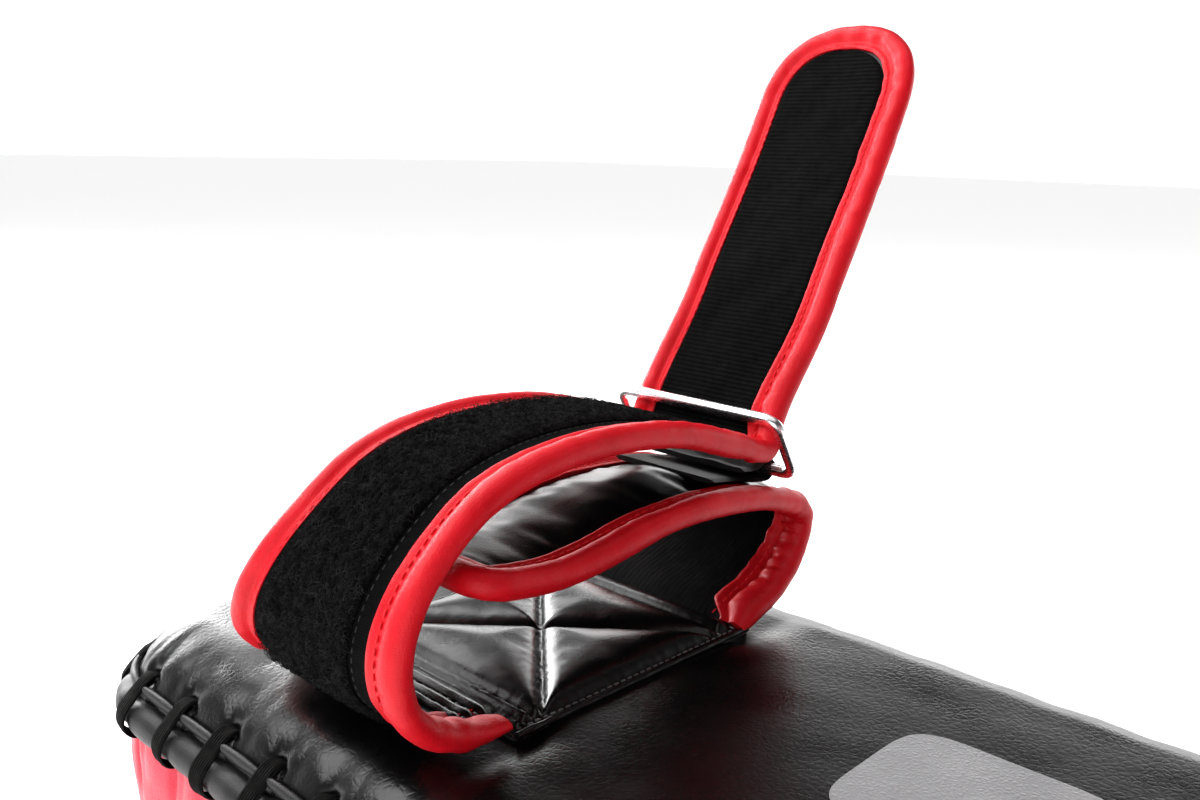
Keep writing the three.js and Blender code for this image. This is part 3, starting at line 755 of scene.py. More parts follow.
# ---------------------------------------------------------------- straps and bindings
def binding_section(roll_wide, roll_high, flange, skin):
    """Outline (m, 2) of a sewn edge roll, inward distance and height, and where its stitches lie. Its
    flange lies on both faces."""
    centre = roll_wide / 2 - 0.8
    start = math.radians(28)
    angles = np.linspace(start, 2 * math.pi - start, 22)
    roll = np.stack([centre + roll_wide / 2 * np.cos(angles), roll_high / 2 * np.sin(angles)], 1)
    edge = centre + roll_wide / 2
    upper = [(edge + flange, skin - 0.2), (edge + flange - 0.1, skin + 0.75),
             (edge + flange - 0.9, skin + 1.05), (edge + flange * 0.6, skin + 0.95),
             (edge + flange * 0.38, skin + 0.55), (edge + 0.55, skin + 0.1)]
    lower = [(inward, -height) for inward, height in reversed(upper)]
    return np.vstack([upper, roll, lower]), edge + 0.75


def edge_binding(name, place, edge, inward, section, swell):
    """A roll sewn along an edge: edge and inward (n, 2) are in (s, a); swell (n, m, 2) scales the outline."""
    e = section[None, :, 0] * swell[..., 0]
    h = section[None, :, 1] * swell[..., 1]
    s = edge[:, None, 0] + inward[:, None, 0] * e
    a = edge[:, None, 1] + inward[:, None, 1] * e
    return tube(name, place(s, a, h), RED)


def flange_calm(section):
    """1 on a binding's flange and 0 on its roll."""
    return smoothstep(section[:, 0], 5.5, 9.0)[None]


def puckers(along, section, seed, amount, close=None):
    """Scale factors (n, m, 2) for a binding outline: slow swelling, and gathers where close is near 1."""
    gather = 1.0 if close is None else 0.25 + close[:, None]
    around = np.linspace(0, 2 * math.pi, len(section))[None]
    s = along[:, None]
    slow = 1 + 0.045 * waves(s, around * 2, 34, seed)
    fine = amount * waves(s, around * 3.2, 6.5, seed + 1) * gather
    both = slow + fine
    return np.stack([1 + (both - 1) * (1 - 0.85 * flange_calm(section)), both], 2)


def edge_frame(edge):
    """Inward unit directions for an edge line (n, 2) in (s, a), to the left of its travel."""
    tangent = unit(np.gradient(edge, axis=0))
    return np.stack([-tangent[:, 1], tangent[:, 0]], 1)


def slab(name, place, s, near, far, low, high, material, slot, across=34, lift=None, calm=2.0):
    """A flat panel on a strap: rows at distances s, from near to far across, between heights low and high."""
    share = np.concatenate([np.linspace(0, 1, across), np.linspace(1, 0, across)])
    is_top = np.arange(2 * across)[None] < across
    rim = np.minimum(share, 1 - share)[None] * across
    pull = 0.5 * (high - low) * np.exp(-rim * 1.6)
    a = near[:, None] + (far - near)[:, None] * share[None]
    ss = np.repeat(s[:, None], len(share), 1)
    h = np.where(is_top, high - pull, low + pull) * np.ones_like(ss)
    if lift is not None:
        h = h + np.where(is_top, lift(ss, a), 0.0) * np.minimum(rim / calm, 1)
    return tube(name, place(ss, a, h), material, np.stack([a, ss], 2))


def cuff_x(cuff, a, z, top):
    """Place along the pad of a point a across a cuff's strap; the cuff flares toward its foot."""
    return cuff["near"] - a - cuff["flare"] * (a / STRAP_WIDTH) * (1 - smoothstep(z, FLARE_FOOT, top))


class Strap:
    """The main strap of a cuff: from the cushion round and up, through the ring, and on as the tongue."""

    def __init__(self, prefix):
        self.prefix, self.cuff = prefix, CUFFS[prefix]
        direction = np.array([math.cos(TONGUE_LEAN), math.sin(TONGUE_LEAN)])
        tongue = [tuple(TONGUE_FOOT + direction * t) for t in (0, 12, 30, 60, 90, 120, TONGUE_LENGTH)]
        self.path = Path(STRAP_LINE + TURN_LINE + tongue, 1)
        self.foot = self.path.nearest(*TONGUE_FOOT)
        self.entry, self.turn = self.path.nearest(*ENTRY), self.path.nearest(*TURN)
        self.end = self.path.length

    def place(self, s, a, h):
        y, z, ny, nz = self.path.at(s)
        t = s - self.foot
        bow = 1.1 * np.sin((t - 20) / 17.0) + 1.6 * np.sin(t / 46.0 + a / 40.0)
        h = h + 0.55 * bow * smoothstep(t, 4, 50)
        x = cuff_x(self.cuff, a, z, STRAP_TOP) + smoothstep(t, 4, 46) * 4.6
        return np.stack([x, y + ny * h, z + nz * h], -1)

    def anchor(self, s):
        """The middle of the strap at distance s, in metres."""
        return self.place(np.array(s), np.array(STRAP_MIDDLE), np.array(0.0)) * MM

    def slimmer(self, s):
        """The tongue's roll is a little slimmer than the strap's."""
        return (1 - 0.08 * smoothstep(s, self.foot, self.foot + 60))[:, None, None]

    def edges(self, s, near_inset=0.0, far_inset=0.0):
        """Near and far edge at distance s, drawn in by the insets; the end is a blunt half round."""
        share = smoothstep(s, self.foot - 12, self.foot + 4)
        near = TONGUE_NEAR * share + near_inset
        far = STRAP_WIDTH + (TONGUE_FAR - STRAP_WIDTH) * share - far_inset
        middle, half = (near + far) / 2, (far - near) / 2
        tip = np.clip((s - (self.end - TIP_LENGTH)) / (TIP_LENGTH - near_inset), 0, 1)
        half = half * (1 - tip**TIP_POWER) ** (1 / TIP_POWER)
        return middle - half, middle + half

    def tip_rows(self, start, inset=0.0):
        """Distances from start to the end, closer together toward the round tip."""
        return start + (self.end - inset - 0.05 - start) * (1 - (1 - np.linspace(0, 1, 150)) ** 1.6)


LENGTHS = ("strap", "strap_entry", "strap_turn", "tongue_middle", "tongue_tip")
STRAP_NODES = {"band": "strap_band", "face": "loop_panel", "near": "strap_binding_near",
               "far": "strap_binding_far"}
TONGUE_NODES = {"band": "backing", "face": "hook_tape", "near": "binding_near", "far": "binding_far",
                "rim": "binding"}


def strap_parts(prefix):
    """The strap and tongue, made in lengths cut at the joins between bodies; the first length goes on the
    pad.
    """
    strap = Strap(prefix)
    foot = strap.foot
    cut = [0.0, strap.entry, strap.turn, foot + 27, foot + 75, strap.end]
    bodies = ["pad"] + [f"{prefix}_{part}" for part in ("ring", "tongue_root", "tongue_middle", "tongue_tip")]
    for k in range(len(LENGTHS)):
        for key, piece in strap_part(strap, k, cut[k], cut[k + 1], 40 if prefix == "elbow" else 70).items():
            if k == 0 and key in STRAP_NODES:
                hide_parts(f"{prefix}_{STRAP_NODES[key]}")
            if k > 1 and key in TONGUE_NODES:
                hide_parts(f"{bodies[k]}_{TONGUE_NODES[key]}")
            if k == 0:
                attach(piece, "pad")
                continue
            start = strap.anchor(cut[k])
            end = strap.anchor(cut[k + 1] if k < 4 else cut[k] + 50)
            start[0] = end[0]
            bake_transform(piece)
    half = strap.entry / 2
    for part, (begin, finish) in enumerate(((8.0, half), (half, strap.entry))):
        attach(fibres(f"{prefix}_strap_fibres_{part}", strap, begin, finish, 6200, 5 + 10 * part), "pad")
    entry = fibres(f"{prefix}_strap_entry_fibres", strap, strap.entry, strap.turn, 1600, 6)
    start, end = strap.anchor(strap.entry), strap.anchor(strap.turn)
    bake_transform(entry)


def strap_part(strap, k, start, end, seed):
    """Band, face, edge rolls and stitches of length k of the strap, from start to end along it."""
    name, place = f"{strap.prefix}_{LENGTHS[k]}", strap.place
    is_tip, has_pile = k == 4, k < 2
    s = strap.tip_rows(start) if is_tip else np.linspace(start, end, max(8, int((end - start) / 1.15)))
    near, far = strap.edges(s)
    made = {}

    def panel(label, near_inset, far_inset, *look):
        rows = strap.tip_rows(start, near_inset) if is_tip else s
        inner, outer = strap.edges(rows, near_inset, far_inset)
        return slab(f"{name}_{label}", place, rows, inner, outer, *look)

    def felt(ss, a):
        return 0.42 * waves(ss, a, 3.4, 31) + 0.30 * waves(ss, a, 9, 32) + 0.22 * waves(ss, a, 1.9, 33)

    def ripple(ss, a):
        return 0.26 * waves(ss, a, 26, seed + 5) + 0.05 * waves(ss, a, 7, seed + 6)

    made["band"] = panel("band", 3.2, 3.2, -1.3, 1.2 if has_pile else 0.9, STRAP_LEATHER, "strap_leather", 30)
    if has_pile:
        made["web"] = slab(name + "_margin_near", place, s, near + 9.0, near + 21.0, 1.0, 1.75, STRAP_SKIN,
                           "strap_leather", 16)
        made["far_web"] = slab(name + "_margin_far", place, s, far - 17.0, far - 7.6, 1.0, 1.6, STRAP_SKIN,
                               "strap_leather", 12)
        made["face"] = slab(name + "_pile", place, np.maximum(s, 7.0), near + 18.0, far - 13.6, 1.0, 3.3,
                            PILE, "loop_pile", 62, felt)
    else:
        made["face"] = panel("hook", 10.2, 10.2 * FAR_ROLL, 0.3, 2.2, HOOK, "hook_tape", 40, ripple, 9.0)
    section, groove = binding_section(8.6, 8.6, 3.6, 1.65)
    squeeze = 1.2 * bell(s - strap.path.nearest(60, 159.5), 16)
    close = np.clip(1 - smoothstep(s, 8, 45) + squeeze, 0, 1.3)
    if is_tip:
        edge, direction, swell = tip_edge(strap, s, near, far, section, close, seed)
        made["rim"] = edge_binding(f"{name}_binding", place, edge, direction, section, swell)
        made["thread"] = stitch_line(f"{name}_thread", place, edge, direction, groove, 2.05)
        return made
    for key, line, inward, extra, size in (("near", near, 1.0, 0, 1.0), ("far", far, -1.0, 9, FAR_ROLL)):
        edge = np.stack([s, line], 1)
        direction = np.stack([np.zeros_like(s), np.full_like(s, inward)], 1)
        swell = puckers(s, section, seed + extra, 0.07, close) * strap.slimmer(s) * size
        if k == 0:
            tail = smoothstep(s, -2, 16)
            swell = swell * np.stack([0.8 + 0.2 * tail, 0.5 + 0.5 * tail], 1)[:, None, :]
        made[key] = edge_binding(f"{name}_binding_{key}", place, edge, direction, section, swell)
        made["thread_" + key] = stitch_line(f"{name}_thread_{key}", place, edge, direction, groove, 2.05)
    if k == 0:
        edge = np.stack([s, near], 1)
        direction = np.stack([np.zeros_like(s), np.ones_like(s)], 1)
        made["margin"] = stitch_line(name + "_margin_thread", place, edge, direction, 16.6, 1.6, 2.8, 2.1,
                                     0.35, BLACK_THREAD, (1,))
        made["rolls"] = base_rolls(name, strap)
    return made


def tip_edge(strap, s, near, far, section, close, seed):
    """The edge line round the tongue's end, its inward directions, and its swelling, which meets the
    rolls of the length before at both ends."""
    line = np.vstack([np.stack([s, near], 1), np.stack([s, far], 1)[::-1]])
    along = travel(line)
    even = np.linspace(0, along[-1], 330)
    edge = np.stack([np.interp(even, along, column) for column in line.T], 1)
    direction = edge_frame(edge)
    for _ in range(3):
        direction[1:-1] = unit(direction[:-2] + direction[1:-1] * 2 + direction[2:])
    direction[0], direction[-1] = (0, 1), (0, -1)
    swell = puckers(even + s[0], section, seed, 0.045)
    swell = swell * (1 + (FAR_ROLL - 1) * smoothstep(even, 0, even[-1]))[:, None, None]
    for distance, extra, size in ((even, 0, 1.0), (even[-1] - even, 9, FAR_ROLL)):
        meets = puckers(s[:1], section, seed + extra, 0.07, close[:1]) * size
        fade = np.exp(-distance / 5)[:, None, None]
        swell = swell * (1 - fade) + meets * fade
    return edge, direction, swell * strap.slimmer(edge[:, 0])


def stitch_line(name, place, edge, direction, inward, height, gap=3.3, length=2.4, thickness=0.34,
                material=RED_THREAD, sides=(1, -1)):
    """Stitches beside an edge line, on both faces or on one."""
    along = travel(edge)
    stations = np.arange(gap / 2, along[-1], gap)
    line_s, line_a, in_s, in_a = (np.interp(stations, along, column) for column in (*edge.T, *direction.T))
    s, a = line_s + in_s * inward, line_a + in_a * inward
    rows = []
    for face in sides:
        h = np.full_like(s, height * face)
        centre = place(s, a, h)
        ahead = place(s - in_a * 0.5, a + in_s * 0.5, h) - centre
        rows.append((centre, ahead, place(s, a, h + face * 0.5) - centre))
    centres, ahead, up = (np.vstack(column) for column in zip(*rows))
    return beads(name, centres, ahead, up, length, thickness, material)


def base_rolls(name, strap):
    """Sewn padded rolls across the inside of the strap where it leaves the cushion."""
    a = np.linspace(5.5, STRAP_WIDTH - 5.5, 70)
    angles = circle(14)[None]
    ends = np.minimum(smoothstep(a, a[0] - 1, a[0] + 3), 1 - smoothstep(a, a[-1] - 3, a[-1] + 1))
    pieces = []
    for k, (s, wide) in enumerate(((2.2, 2.1), (6.9, 1.9), (11.2, 1.6))):
        swell = (ends * (1 + 0.10 * waves(a, 0, 8, 300 + k)))[:, None]
        across = s + wide * np.cos(angles) * swell
        height = -1.6 + 1.5 * np.sin(angles) * swell
        rings = strap.place(across, np.broadcast_to(a[:, None], across.shape), height)
        pieces.append(tube(f"{name}_roll_{k}", rings, GLOSS))
    edge = np.stack([np.full_like(a, 4.6), a], 1)
    direction = np.stack([np.ones_like(a), np.zeros_like(a)], 1)
    # These roll seams use the pale thread, whose colour is a painted highlight.
    for k, inward in enumerate((0.0, 4.5)):
        pieces.append(stitch_line(f"{name}_roll_thread_{k}", strap.place, edge, direction, inward, 1.9, 2.8,
                                  2.1, 0.38, PAINTED_HIGHLIGHT_THREAD, (-1,)))
    return join(pieces, name + "_base_rolls")


def fibres(name, strap, start, end, count, seed):
    """Bent loops of yarn over the pile, one thin three-sided strand each."""
    source = np.random.default_rng(seed)
    s = source.uniform(start, end, count)
    a = source.uniform(18.2, STRAP_WIDTH - 13.8, count)
    turn = source.uniform(0, 2 * math.pi, count)[:, None]
    bend = source.normal(0, 0.9, count)[:, None]
    length = source.uniform(1.6, 3.6, count)[:, None]
    height = source.uniform(0.35, 1.6, count)[:, None]
    radius = source.uniform(0.055, 0.095, count)[:, None, None]
    stations = np.linspace(0, 1, 5)[None]
    heading = turn + bend * stations
    centre_s = s[:, None] + np.cumsum(np.cos(heading), 1) / 5 * length
    centre_a = a[:, None] + np.cumsum(np.sin(heading), 1) / 5 * length
    h = 3.1 + height * np.sin(math.pi * (0.1 + 0.85 * stations)) ** 0.8
    aside, rise = radius * np.cos(circle(3)), radius * np.sin(circle(3))
    ss = np.clip(centre_s[..., None] - np.sin(heading)[..., None] * aside, start - 1.2, end + 0.6)
    aa = centre_a[..., None] + np.cos(heading)[..., None] * aside
    points = strap.place(ss, aa, h[..., None] + rise)
    strand = grid_faces(5, 3, True).tolist() + [[0, 1, 2], [12, 14, 13]]
    faces = [[15 * k + corner for corner in face] for k in range(count) for face in strand]
    return add_mesh(name, points, faces, FIBRE)


# ---------------------------------------------------------------- flap, keeper, ring
def flap_edge(end, corner):
    """The flap's edge line in (s, a): out along the near side, round the tip and back."""
    s = np.linspace(0.5, end - corner, 210)
    turn = np.linspace(0, math.pi / 2, 26)[1:]
    across = np.linspace(corner, STRAP_WIDTH - corner, 34)[1:]
    middle = end - corner
    return np.vstack([
        np.stack([s, np.zeros_like(s)], 1),
        np.stack([middle + corner * np.sin(turn), corner - corner * np.cos(turn)], 1),
        np.stack([np.full_like(across, end), across], 1),
        np.stack([middle + corner * np.cos(turn), STRAP_WIDTH - corner + corner * np.sin(turn)], 1),
        np.stack([s[::-1][1:], np.full(len(s) - 1, STRAP_WIDTH)], 1)])


def flap(prefix):
    """The padded flap that comes over the forearm from the far side: binding, leather and lining."""
    cuff, path = CUFFS[prefix], Path(FLAP_LINE, -1)
    seed = 90 if prefix == "elbow" else 120
    end = path.length - 1.0

    def place(s, a, h):
        y, z, ny, nz = path.at(s)
        return np.stack([cuff_x(cuff, a, z, FLAP_TOP), y + ny * h, z + nz * h], -1)

    section, groove = binding_section(9.2, 9.0, 3.8, 2.4)
    edge = flap_edge(end, 12.0)
    direction, along = edge_frame(edge), travel(edge)
    bend = bell(edge[:, 0] - path.nearest(86, 123), 22)
    swell = puckers(along, section, seed, 0.08, bend * 1.4)
    inner = (section[:, 1] < 0).astype(float)[None, :, None]
    tuck = 1 - 0.45 * (1 - smoothstep(edge[:, 0], 0, 9))
    gather = 0.10 * bend * np.sin(along * 2 * math.pi / 5.2 + 1.3 * waves(along, 0, 20, seed))
    calm = 1 - 0.92 * flange_calm(section)[..., None]
    swell = swell * (1 + gather[:, None, None] * (0.35 + 0.65 * inner) * calm) * tuck[:, None, None]
    rim_roll = edge_binding(f"{prefix}_flap_rim", place, edge, direction, section, swell)
    settle(rim_roll, f"{prefix}_flap_binding")
    settle(stitch_line(f"{prefix}_flap_thread", place, edge, direction, groove, 2.9))

    hem, tread = 12.4, 9.5
    across = np.linspace(3.2, STRAP_WIDTH - 3.2, 40)
    s, a = np.meshgrid(np.linspace(0.5, end - 3.0, 150), across, indexing="ij")
    rim = np.minimum(np.minimum(a, STRAP_WIDTH - a), end - s)
    clear = np.maximum(rim - hem, 0)
    start = np.stack([a, s, 3.6 * (1 - np.exp(-clear / 8))], 2)
    puffed = inflated(f"{prefix}_flap_cloth", start, rim < hem, 0.006, 3.0, 30.0, 0.38)[..., 2]
    wrinkle = 0.45 * np.exp(-clear / 7) * waves(s, a * 0.25, 9.0, seed + 3) * smoothstep(rim, hem, hem + 3)
    foot = 0.5 + 0.5 * smoothstep(s, 0, 9)
    top = (1.5 + 0.5 * smoothstep(rim, tread, hem + 0.5) + puffed + wrinkle) * foot
    cover = layered(f"{prefix}_flap_skin", place, s, a, top, np.full_like(top, -0.6), FLAP_SKIN)
    settle(cover, f"{prefix}_flap_cover")
    slack = (1.1 + 0.3 * waves(s, a, 18, seed + 4)) * smoothstep(rim, tread, hem + 8)
    lining = layered(f"{prefix}_flap_cloth", place, s, a, np.full_like(top, -0.7), (-1.5 - slack) * foot,
                     LINING)
    settle(lining, f"{prefix}_flap_lining")


def keeper(prefix):
    """The leather loop that holds the ring on the flap."""
    path, near = Path(KEEPER_LINE, -1), CUFFS[prefix]["near"] - 10

    def place(s, a, h):
        y, z, ny, nz = path.at(s)
        return np.stack([near - a, y + ny * h, z + nz * h], -1)

    s = np.linspace(0, path.length, 90)
    settle(slab(f"{prefix}_keeper_loop", place, s, np.zeros_like(s), np.full_like(s, KEEPER_WIDTH), -0.9, 0.9,
                KEEPER_SKIN, "flap_leather", 30, lambda ss, a: 0.25 * waves(ss, a, 12, 55)),
           f"{prefix}_ring_keeper")


def ring(prefix):
    """The chromed loop: rounded wire along a rectangle with small corners."""
    near, corner, squareness = CUFFS[prefix]["near"], RING_CORNER, 0.82
    front, rear = np.array(RING_BARS)
    depth = np.linalg.norm(front - rear)
    down = (rear - front) / depth
    x_low, x_high = near - 71.25 + corner, near + 0.45 - corner
    sharp = []
    for x, d, begin in ((x_high, corner, -90), (x_high, depth - corner, 0), (x_low, depth - corner, 90),
                        (x_low, corner, 180)):
        angle = np.radians(np.linspace(begin, begin + 90, 13))
        sharp.append(np.stack([x + corner * np.cos(angle), d + corner * np.sin(angle)], 1))
    sharp = np.vstack(sharp)
    line = []
    for this, after in zip(sharp, np.roll(sharp, -1, 0)):
        count = max(1, int(np.linalg.norm(after - this) / 1.5))
        line += [this + (after - this) * k / count for k in range(count)]
    line = np.array(line)
    ahead = unit(np.roll(line, -1, 0) - np.roll(line, 1, 0))
    out = np.stack([ahead[:, 1], -ahead[:, 0]], 1)
    angles = circle(16)
    c, d = (np.sign(v) * np.abs(v) ** squareness * RING_WIRE / 2 for v in (np.cos(angles), np.sin(angles)))
    x, e = (line[:, k, None] + out[:, k, None] * c[None] for k in (0, 1))
    y = front[0] + down[0] * e - down[1] * d
    z = front[1] + down[1] * e + down[0] * d
    settle(tube(f"{prefix}_ring_wire", np.stack([x, y, z], 2), CHROME.material, closed=True),
           f"{prefix}_ring", f"{prefix}_ring")


# ---------------------------------------------------------------- cushion
def cushion(prefix):
    """The quilted cushion under the forearm, with its stitches, piped edges and foam."""
    near = CUFFS[prefix]["near"]
    length = STRAP_WIDTH + CUFFS[prefix]["flare"]
    low = PAD_TOP + 0.2
    columns, rows, border_width = 96, 112, 3.0
    p, q = np.linspace(0, length, columns), np.linspace(-CUSHION_HALF, CUSHION_HALF, rows)
    grid_q, grid_p = np.meshgrid(q, p, indexing="ij")
    q0, q1 = -CUSHION_HALF + 10.0, CUSHION_HALF - 13.0
    diagonals = [((0, q0), (length, q1)), ((0, q1), (length, q0))]
    channels = [((0, at), (length, at)) for at in (q0, q1, q1 + 7.5, q0 - 4.6)]

    def to_seam(ends):
        (ax, ay), (bx, by) = ends
        dx, dy = bx - ax, by - ay
        t = np.clip(((grid_p - ax) * dx + (grid_q - ay) * dy) / (dx * dx + dy * dy), 0, 1)
        return np.hypot(grid_p - ax - t * dx, grid_q - ay - t * dy)

    seams = [np.minimum(*map(to_seam, diagonals)), *map(to_seam, channels)]
    border = np.minimum(np.minimum(grid_p, length - grid_p), CUSHION_HALF - np.abs(grid_q))
    walls = [*seams, np.maximum(border - border_width, 0)]
    seam, distance = np.minimum.reduce(seams), np.minimum.reduce(walls)
    blunt = sum((wall + 0.05) ** -3.0 for wall in walls) ** (-1 / 3.0)
    dome = 4.6 * (1 - np.exp(-blunt / 4.6))
    pinned = (seam < 0.62 * max(p[1] - p[0], q[1] - q[0])) | (border < border_width)
    start = np.stack([near - grid_p, grid_q, dome], 2)
    puffed = inflated(f"{prefix}_cushion_cloth", start, pinned, 0.004, 3.5, 40.0, 0.3)
    lip = 1.3 * (1 - np.exp(-distance / 1.1))
    crimp = 0.12 * np.exp(-distance / 3.2) * waves(grid_p, grid_q, 3.6, 61)
    height = low + 1.1 + lip + puffed[..., 2] + crimp - 1.6 * np.exp(-border / 2.0)
    under = np.full_like(grid_p, low - 2.4)
    piece = sheet(f"{prefix}_cushion_quilt", np.dstack([puffed[..., :2], height]),
                  np.dstack([start[..., :2], under]), GLOSS)
    smoother = piece.modifiers.new("round", "SUBSURF")
    smoother.levels = smoother.render_levels = 1
    settle(piece, f"{prefix}_cushion_cover")

    threads = []
    # The pale stitches beside the seams and along the near edge are a painted highlight; the other rows are
    # black thread.
    for label, ends, gap, height, shade in (
            ("x1", diagonals[0], 3.2, 1.5, BLACK_THREAD), ("x2", diagonals[1], 3.2, 1.5, BLACK_THREAD),
            ("b1", channels[2], 2.6, 1.5, PAINTED_HIGHLIGHT_THREAD), ("b2", channels[1], 2.6, 1.5, PAINTED_HIGHLIGHT_THREAD),
            ("a1", channels[3], 2.6, 1.5, BLACK_THREAD),
            ("n", ((1.7, q0 - 6), (1.7, q1 + 10)), 3.0, 1.4, PAINTED_HIGHLIGHT_THREAD)):
        places, (dp, dq) = seam_places(*ends, gap, gap, gap)
        centres = np.stack([near - places[:, 0], places[:, 1], np.full(len(places), low + height)], 1)
        threads.append(flat_beads(f"{prefix}_quilt_{label}", centres, [(-dp, dq)], gap * 0.72, 0.42, shade))
    row = join(threads, f"{prefix}_cushion_threads")
    settle(row)

    s, angles = np.linspace(-CUSHION_HALF + 0.5, CUSHION_HALF - 0.5, 120), circle(10)[None]
    radius = (1.15 + 0.12 * waves(s, 0, 7, 77))[:, None]
    edges = []
    for label, at in (("near", 0.3), ("far", length - 0.3)):
        x, z = near - at + radius * np.cos(angles), low + 0.6 + radius * np.sin(angles)
        rings = np.dstack([x, np.broadcast_to(s[:, None], x.shape), z])
        edges.append(tube(f"{prefix}_cushion_edge_{label}", rings, GLOSS))
    settle(join(edges, f"{prefix}_cushion_edging"))

    (x0, y0, _), (x1, y1, _) = node_box(f"{prefix}_cushion_foam")
    s, a, rim = field(x0 + 1, x1 - 1, 24, y0 + 1, y1 - 1, 28)
    top = low - 0.4 + 0.5 * (1 - np.exp(-rim / 6)) + 0.1 * waves(a, s, 9, 5)
    settle(layered(f"{prefix}_cushion_filling", upright, s, a, top, np.full_like(top, low - 2.2), SOFT_FOAM), f"{prefix}_cushion_foam")


def flat_beads(name, centres, ahead, length, radius, material):
    """Stitches on a level surface; ahead gives one direction (x, y) for all, or one for each."""
    ahead = np.broadcast_to(np.array(ahead, float), (len(centres), 2))
    up = np.tile([0.0, 0.0, 1.0], (len(centres), 1))
    return beads(name, centres, np.column_stack([ahead, up[:, 0]]), up, length, radius, material)


def field(x0, x1, columns, y0, y1, rows):
    """A grid over a rectangle of the pad: y, x and the distance to the rectangle's edge."""
    y, x = np.meshgrid(np.linspace(y0, y1, rows), np.linspace(x0, x1, columns), indexing="ij")
    return y, x, np.minimum(np.minimum(x - x0, x1 - x), np.minimum(y - y0, y1 - y))


# ---------------------------------------------------------------- handle and patch
def handle():
    """The leather grip at the wrist end, its core, and the sewn tabs at its feet."""
    low, high = node_box("handle_cover")
    middle = (low[0] + high[0]) / 2
    path = Path(HANDLE_LINE, 1)
    s = np.linspace(0, path.length, 170)
    y, z, ny, nz = (column[:, None] for column in path.at(s))
    angles = circle(36)
    seam = angles - math.pi * 1.5
    folds = bell(s - 22, 14) + bell(s - path.length + 22, 14)
    radius = 12.6 + 0.25 * waves(s[:, None], angles[None] * 12, 24, 81)
    radius = radius + 0.45 * folds[:, None] * waves(s[:, None], angles[None] * 3, 6, 82)
    radius = radius + (0.7 * bell(np.abs(seam) - 0.26, 0.12) - 0.9 * bell(seam, 0.09))[None]
    ends = np.minimum(smoothstep(s, -4, 10), smoothstep(path.length - s, -4, 10))[:, None]

    def rings(size, squash):
        c, d = np.cos(angles)[None] * size, np.sin(angles)[None] * size * squash
        return np.stack([middle + c, y + ny * d, z + nz * d], 2)

    settle(tube("handle_grip", rings(radius, 0.75 + 0.25 * ends), BLACK), "handle_cover")
    core = rings(np.full_like(radius, 9.5), 1.0)[6:-6:3, ::2]
    settle(tube("handle_filling", core, DENSE_FOAM), "handle_core")
    hem = 3.2
    for label in ("near", "far"):
        (x0, y0, base), (x1, y1, _) = node_box(f"handle_tab_{label}")
        grid_y, grid_x, rim = field(x0, x1, 46, y0, y1, 44)
        top = base + 3.0 * (1 - np.exp(-(rim + 0.3) / 1.2)) - 0.9 * bell(rim - hem, 0.9)
        top = top + 0.2 * waves(grid_x, grid_y, 11, 84)
        tab = layered(f"handle_tab_{label}_skin", upright, grid_y, grid_x, top,
                      np.full_like(top, base - 1.0), BLACK)
        settle(tab, f"handle_tab_{label}")
        corners = [(x0 + hem, y0 + hem), (x1 - hem, y0 + hem), (x1 - hem, y1 - hem), (x0 + hem, y1 - hem)]
        centres, ahead = [], []
        for begin, end in zip(corners, corners[1:] + corners[:1]):
            places, heading = seam_places(begin, end, 1.4, 0, 2.8)
            centres.append(np.column_stack([places, np.full(len(places), base + 2.05)]))
            ahead.append(np.tile(heading, (len(places), 1)))
        # The tab stitches use the pale thread, whose colour is a painted highlight.
        settle(flat_beads(f"handle_tab_{label}_thread", np.vstack(centres), np.vstack(ahead), 2.0, 0.4,
                          PAINTED_HIGHLIGHT_THREAD))


def patch():
    """A plain pale film with rounded corners, printed on the back panel."""
    low, high = np.array([2.0, -20.0]), np.array([66.0, 36.0])
    exponent = 5.0
    u, v = np.meshgrid(np.linspace(-1, 1, 56), np.linspace(-1, 1, 56), indexing="ij")
    size = (np.abs(u) ** exponent + np.abs(v) ** exponent) ** (1 / exponent)
    scale = np.maximum(np.abs(u), np.abs(v)) / np.maximum(size, 1e-6)
    (x_middle, y_middle), (x_half, y_half) = (low + high) / 2, (high - low) / 2
    x, y = x_middle + u * scale * x_half, y_middle + v * scale * y_half
    base = PAD_TOP + back_lift(np.zeros_like(x), np.full_like(x, 90.0), x, y)
    settle(layered("back_patch", lambda s, a, h: np.stack([s, a, h], -1), x, y, base + 0.22, base - 0.5,
                   PATCH_FILM))


# ---------------------------------------------------------------- scene
def area_light(name, place, target, size, power):
    light = bpy.data.lights.new(name, "AREA")
    light.shape = "RECTANGLE"
    light.size, light.size_y = size
    light.energy = power
    lamp = bpy.data.objects.new(name, light)
    bpy.context.scene.collection.objects.link(lamp)
    lamp.location = place
    lamp.rotation_mode = "QUATERNION"
    lamp.rotation_quaternion = (Vector(target) - Vector(place)).to_track_quat("-Z", "Y")


def set_camera(scene):
    camera = bpy.data.objects.new("camera", bpy.data.cameras.new("camera"))
    scene.collection.objects.link(camera)
    scene.camera = camera
    camera.data.sensor_width = 36.0
    camera.data.lens = 34.5
    camera.data.clip_start, camera.data.clip_end = 0.01, 60.0
    right, up = (0.72446, 0.68877, 0.02741), (-0.16925, 0.13918, 0.97570)
    ahead = (-0.66821, 0.71149, -0.21741)
    spot = (0.14313, -0.25281, 0.25978)
    rows = [[right[k], up[k], -ahead[k], spot[k]] for k in range(3)]
    camera.matrix_world = Matrix(rows + [[0, 0, 0, 1]])


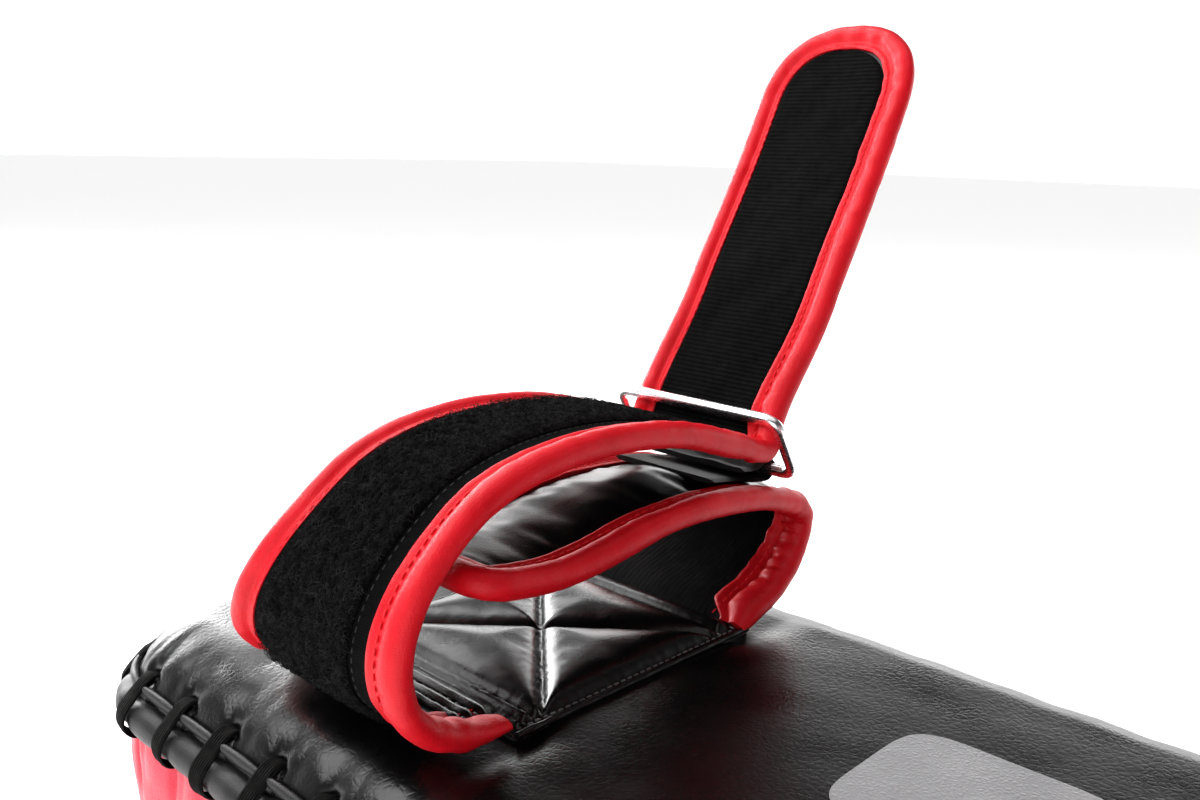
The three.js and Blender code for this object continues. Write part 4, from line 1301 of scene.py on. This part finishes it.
def set_world(scene):
    """White paper to the camera; to the object, a studio that is bright low down on one side."""
    world = bpy.data.worlds.new("studio")
    scene.world = world
    world.use_nodes = True
    tree = world.node_tree
    direction = add_node(tree, "ShaderNodeTexCoord").outputs["Generated"]
    toward = add_node(tree, "ShaderNodeVectorMath", {0: direction}, operation="DOT_PRODUCT")
    toward.inputs[1].default_value = (-0.68, 0.72, 0.0)
    upward = add_node(tree, "ShaderNodeSeparateXYZ", {"Vector": direction})
    factors = []
    for value, start, end, first, last in ((toward.outputs["Value"], -0.35, 0.75, 0.34, 1.15),
                                           (upward.outputs["Z"], 0.12, 0.52, 1.0, 0.10)):
        made = add_node(tree, "ShaderNodeMapRange", {"Value": value}, interpolation_type="SMOOTHSTEP",
                        From_Min=start, From_Max=end, To_Min=first, To_Max=last)
        factors.append(made.outputs["Result"])
    strength = add_node(tree, "ShaderNodeMath", dict(enumerate(factors)), operation="MULTIPLY")
    background = tree.nodes["Background"]
    tree.links.new(strength.outputs["Value"], background.inputs["Strength"])
    background.inputs["Color"].default_value = (1, 1, 1, 1)
    paper = add_node(tree, "ShaderNodeBackground", Color=(1, 1, 1, 1))
    seen = add_node(tree, "ShaderNodeLightPath")
    either = add_node(tree, "ShaderNodeMixShader", {"Fac": seen.outputs["Is Camera Ray"],
                                                    1: background.outputs["Background"],
                                                    2: paper.outputs["Background"]})
    tree.links.new(either.outputs["Shader"], tree.nodes["World Output"].inputs["Surface"])


def set_floor(scene):
    reach, level = 12.0, -0.0006
    mesh = bpy.data.meshes.new("floor")
    corners = [(-reach, -reach, level), (reach, -reach, level), (reach, reach, level), (-reach, reach, level)]
    mesh.from_pydata(corners, [], [(0, 1, 2, 3)])
    floor = bpy.data.objects.new("floor", mesh)
    scene.collection.objects.link(floor)
    mesh.materials.append(recipe("floor_paper", grey(0.93), 0.8, ((3.0, 2.0), grey(0.92), grey(0.95)),
                                 Emission_Color=(1, 1, 1, 1), Emission_Strength=0.4))


def studio():
    scene = bpy.context.scene
    scene.view_settings.view_transform = "Standard"
    scene.view_settings.look = "Medium High Contrast"
    set_camera(scene)
    set_world(scene)
    set_floor(scene)
    area_light("key_light", (-0.9, -1.1, 1.5), (0, 0, 0.08), (1.5, 1.1), 26)
    area_light("rim_light", (-0.8, 1.9, 0.52), (0, 0, 0.1), (3.4, 0.5), 14)
    area_light("side_light", (-1.9, 0.25, 0.6), (-0.1, 0, 0.1), (1.2, 0.9), 30)
    area_light("front_light", (1.1, -1.7, 0.75), (0, 0, 0.1), (1.8, 1.1), 9)
    area_light("over_light", (-1.0, 0.25, 1.35), (-0.1, 0.06, 0.17), (0.8, 0.7), 9)
    sky = bpy.data.lights.new("sky_light", "SUN")
    sky.energy = 0.8
    sky.angle = math.radians(70)
    scene.collection.objects.link(bpy.data.objects.new("sky_light", sky))


def main():
    studio()
    pad_body()
    patch()
    handle()
    for prefix in CUFFS:
        cushion(prefix)
        strap_parts(prefix)
        flap(prefix)
        keeper(prefix)
        ring(prefix)


main()
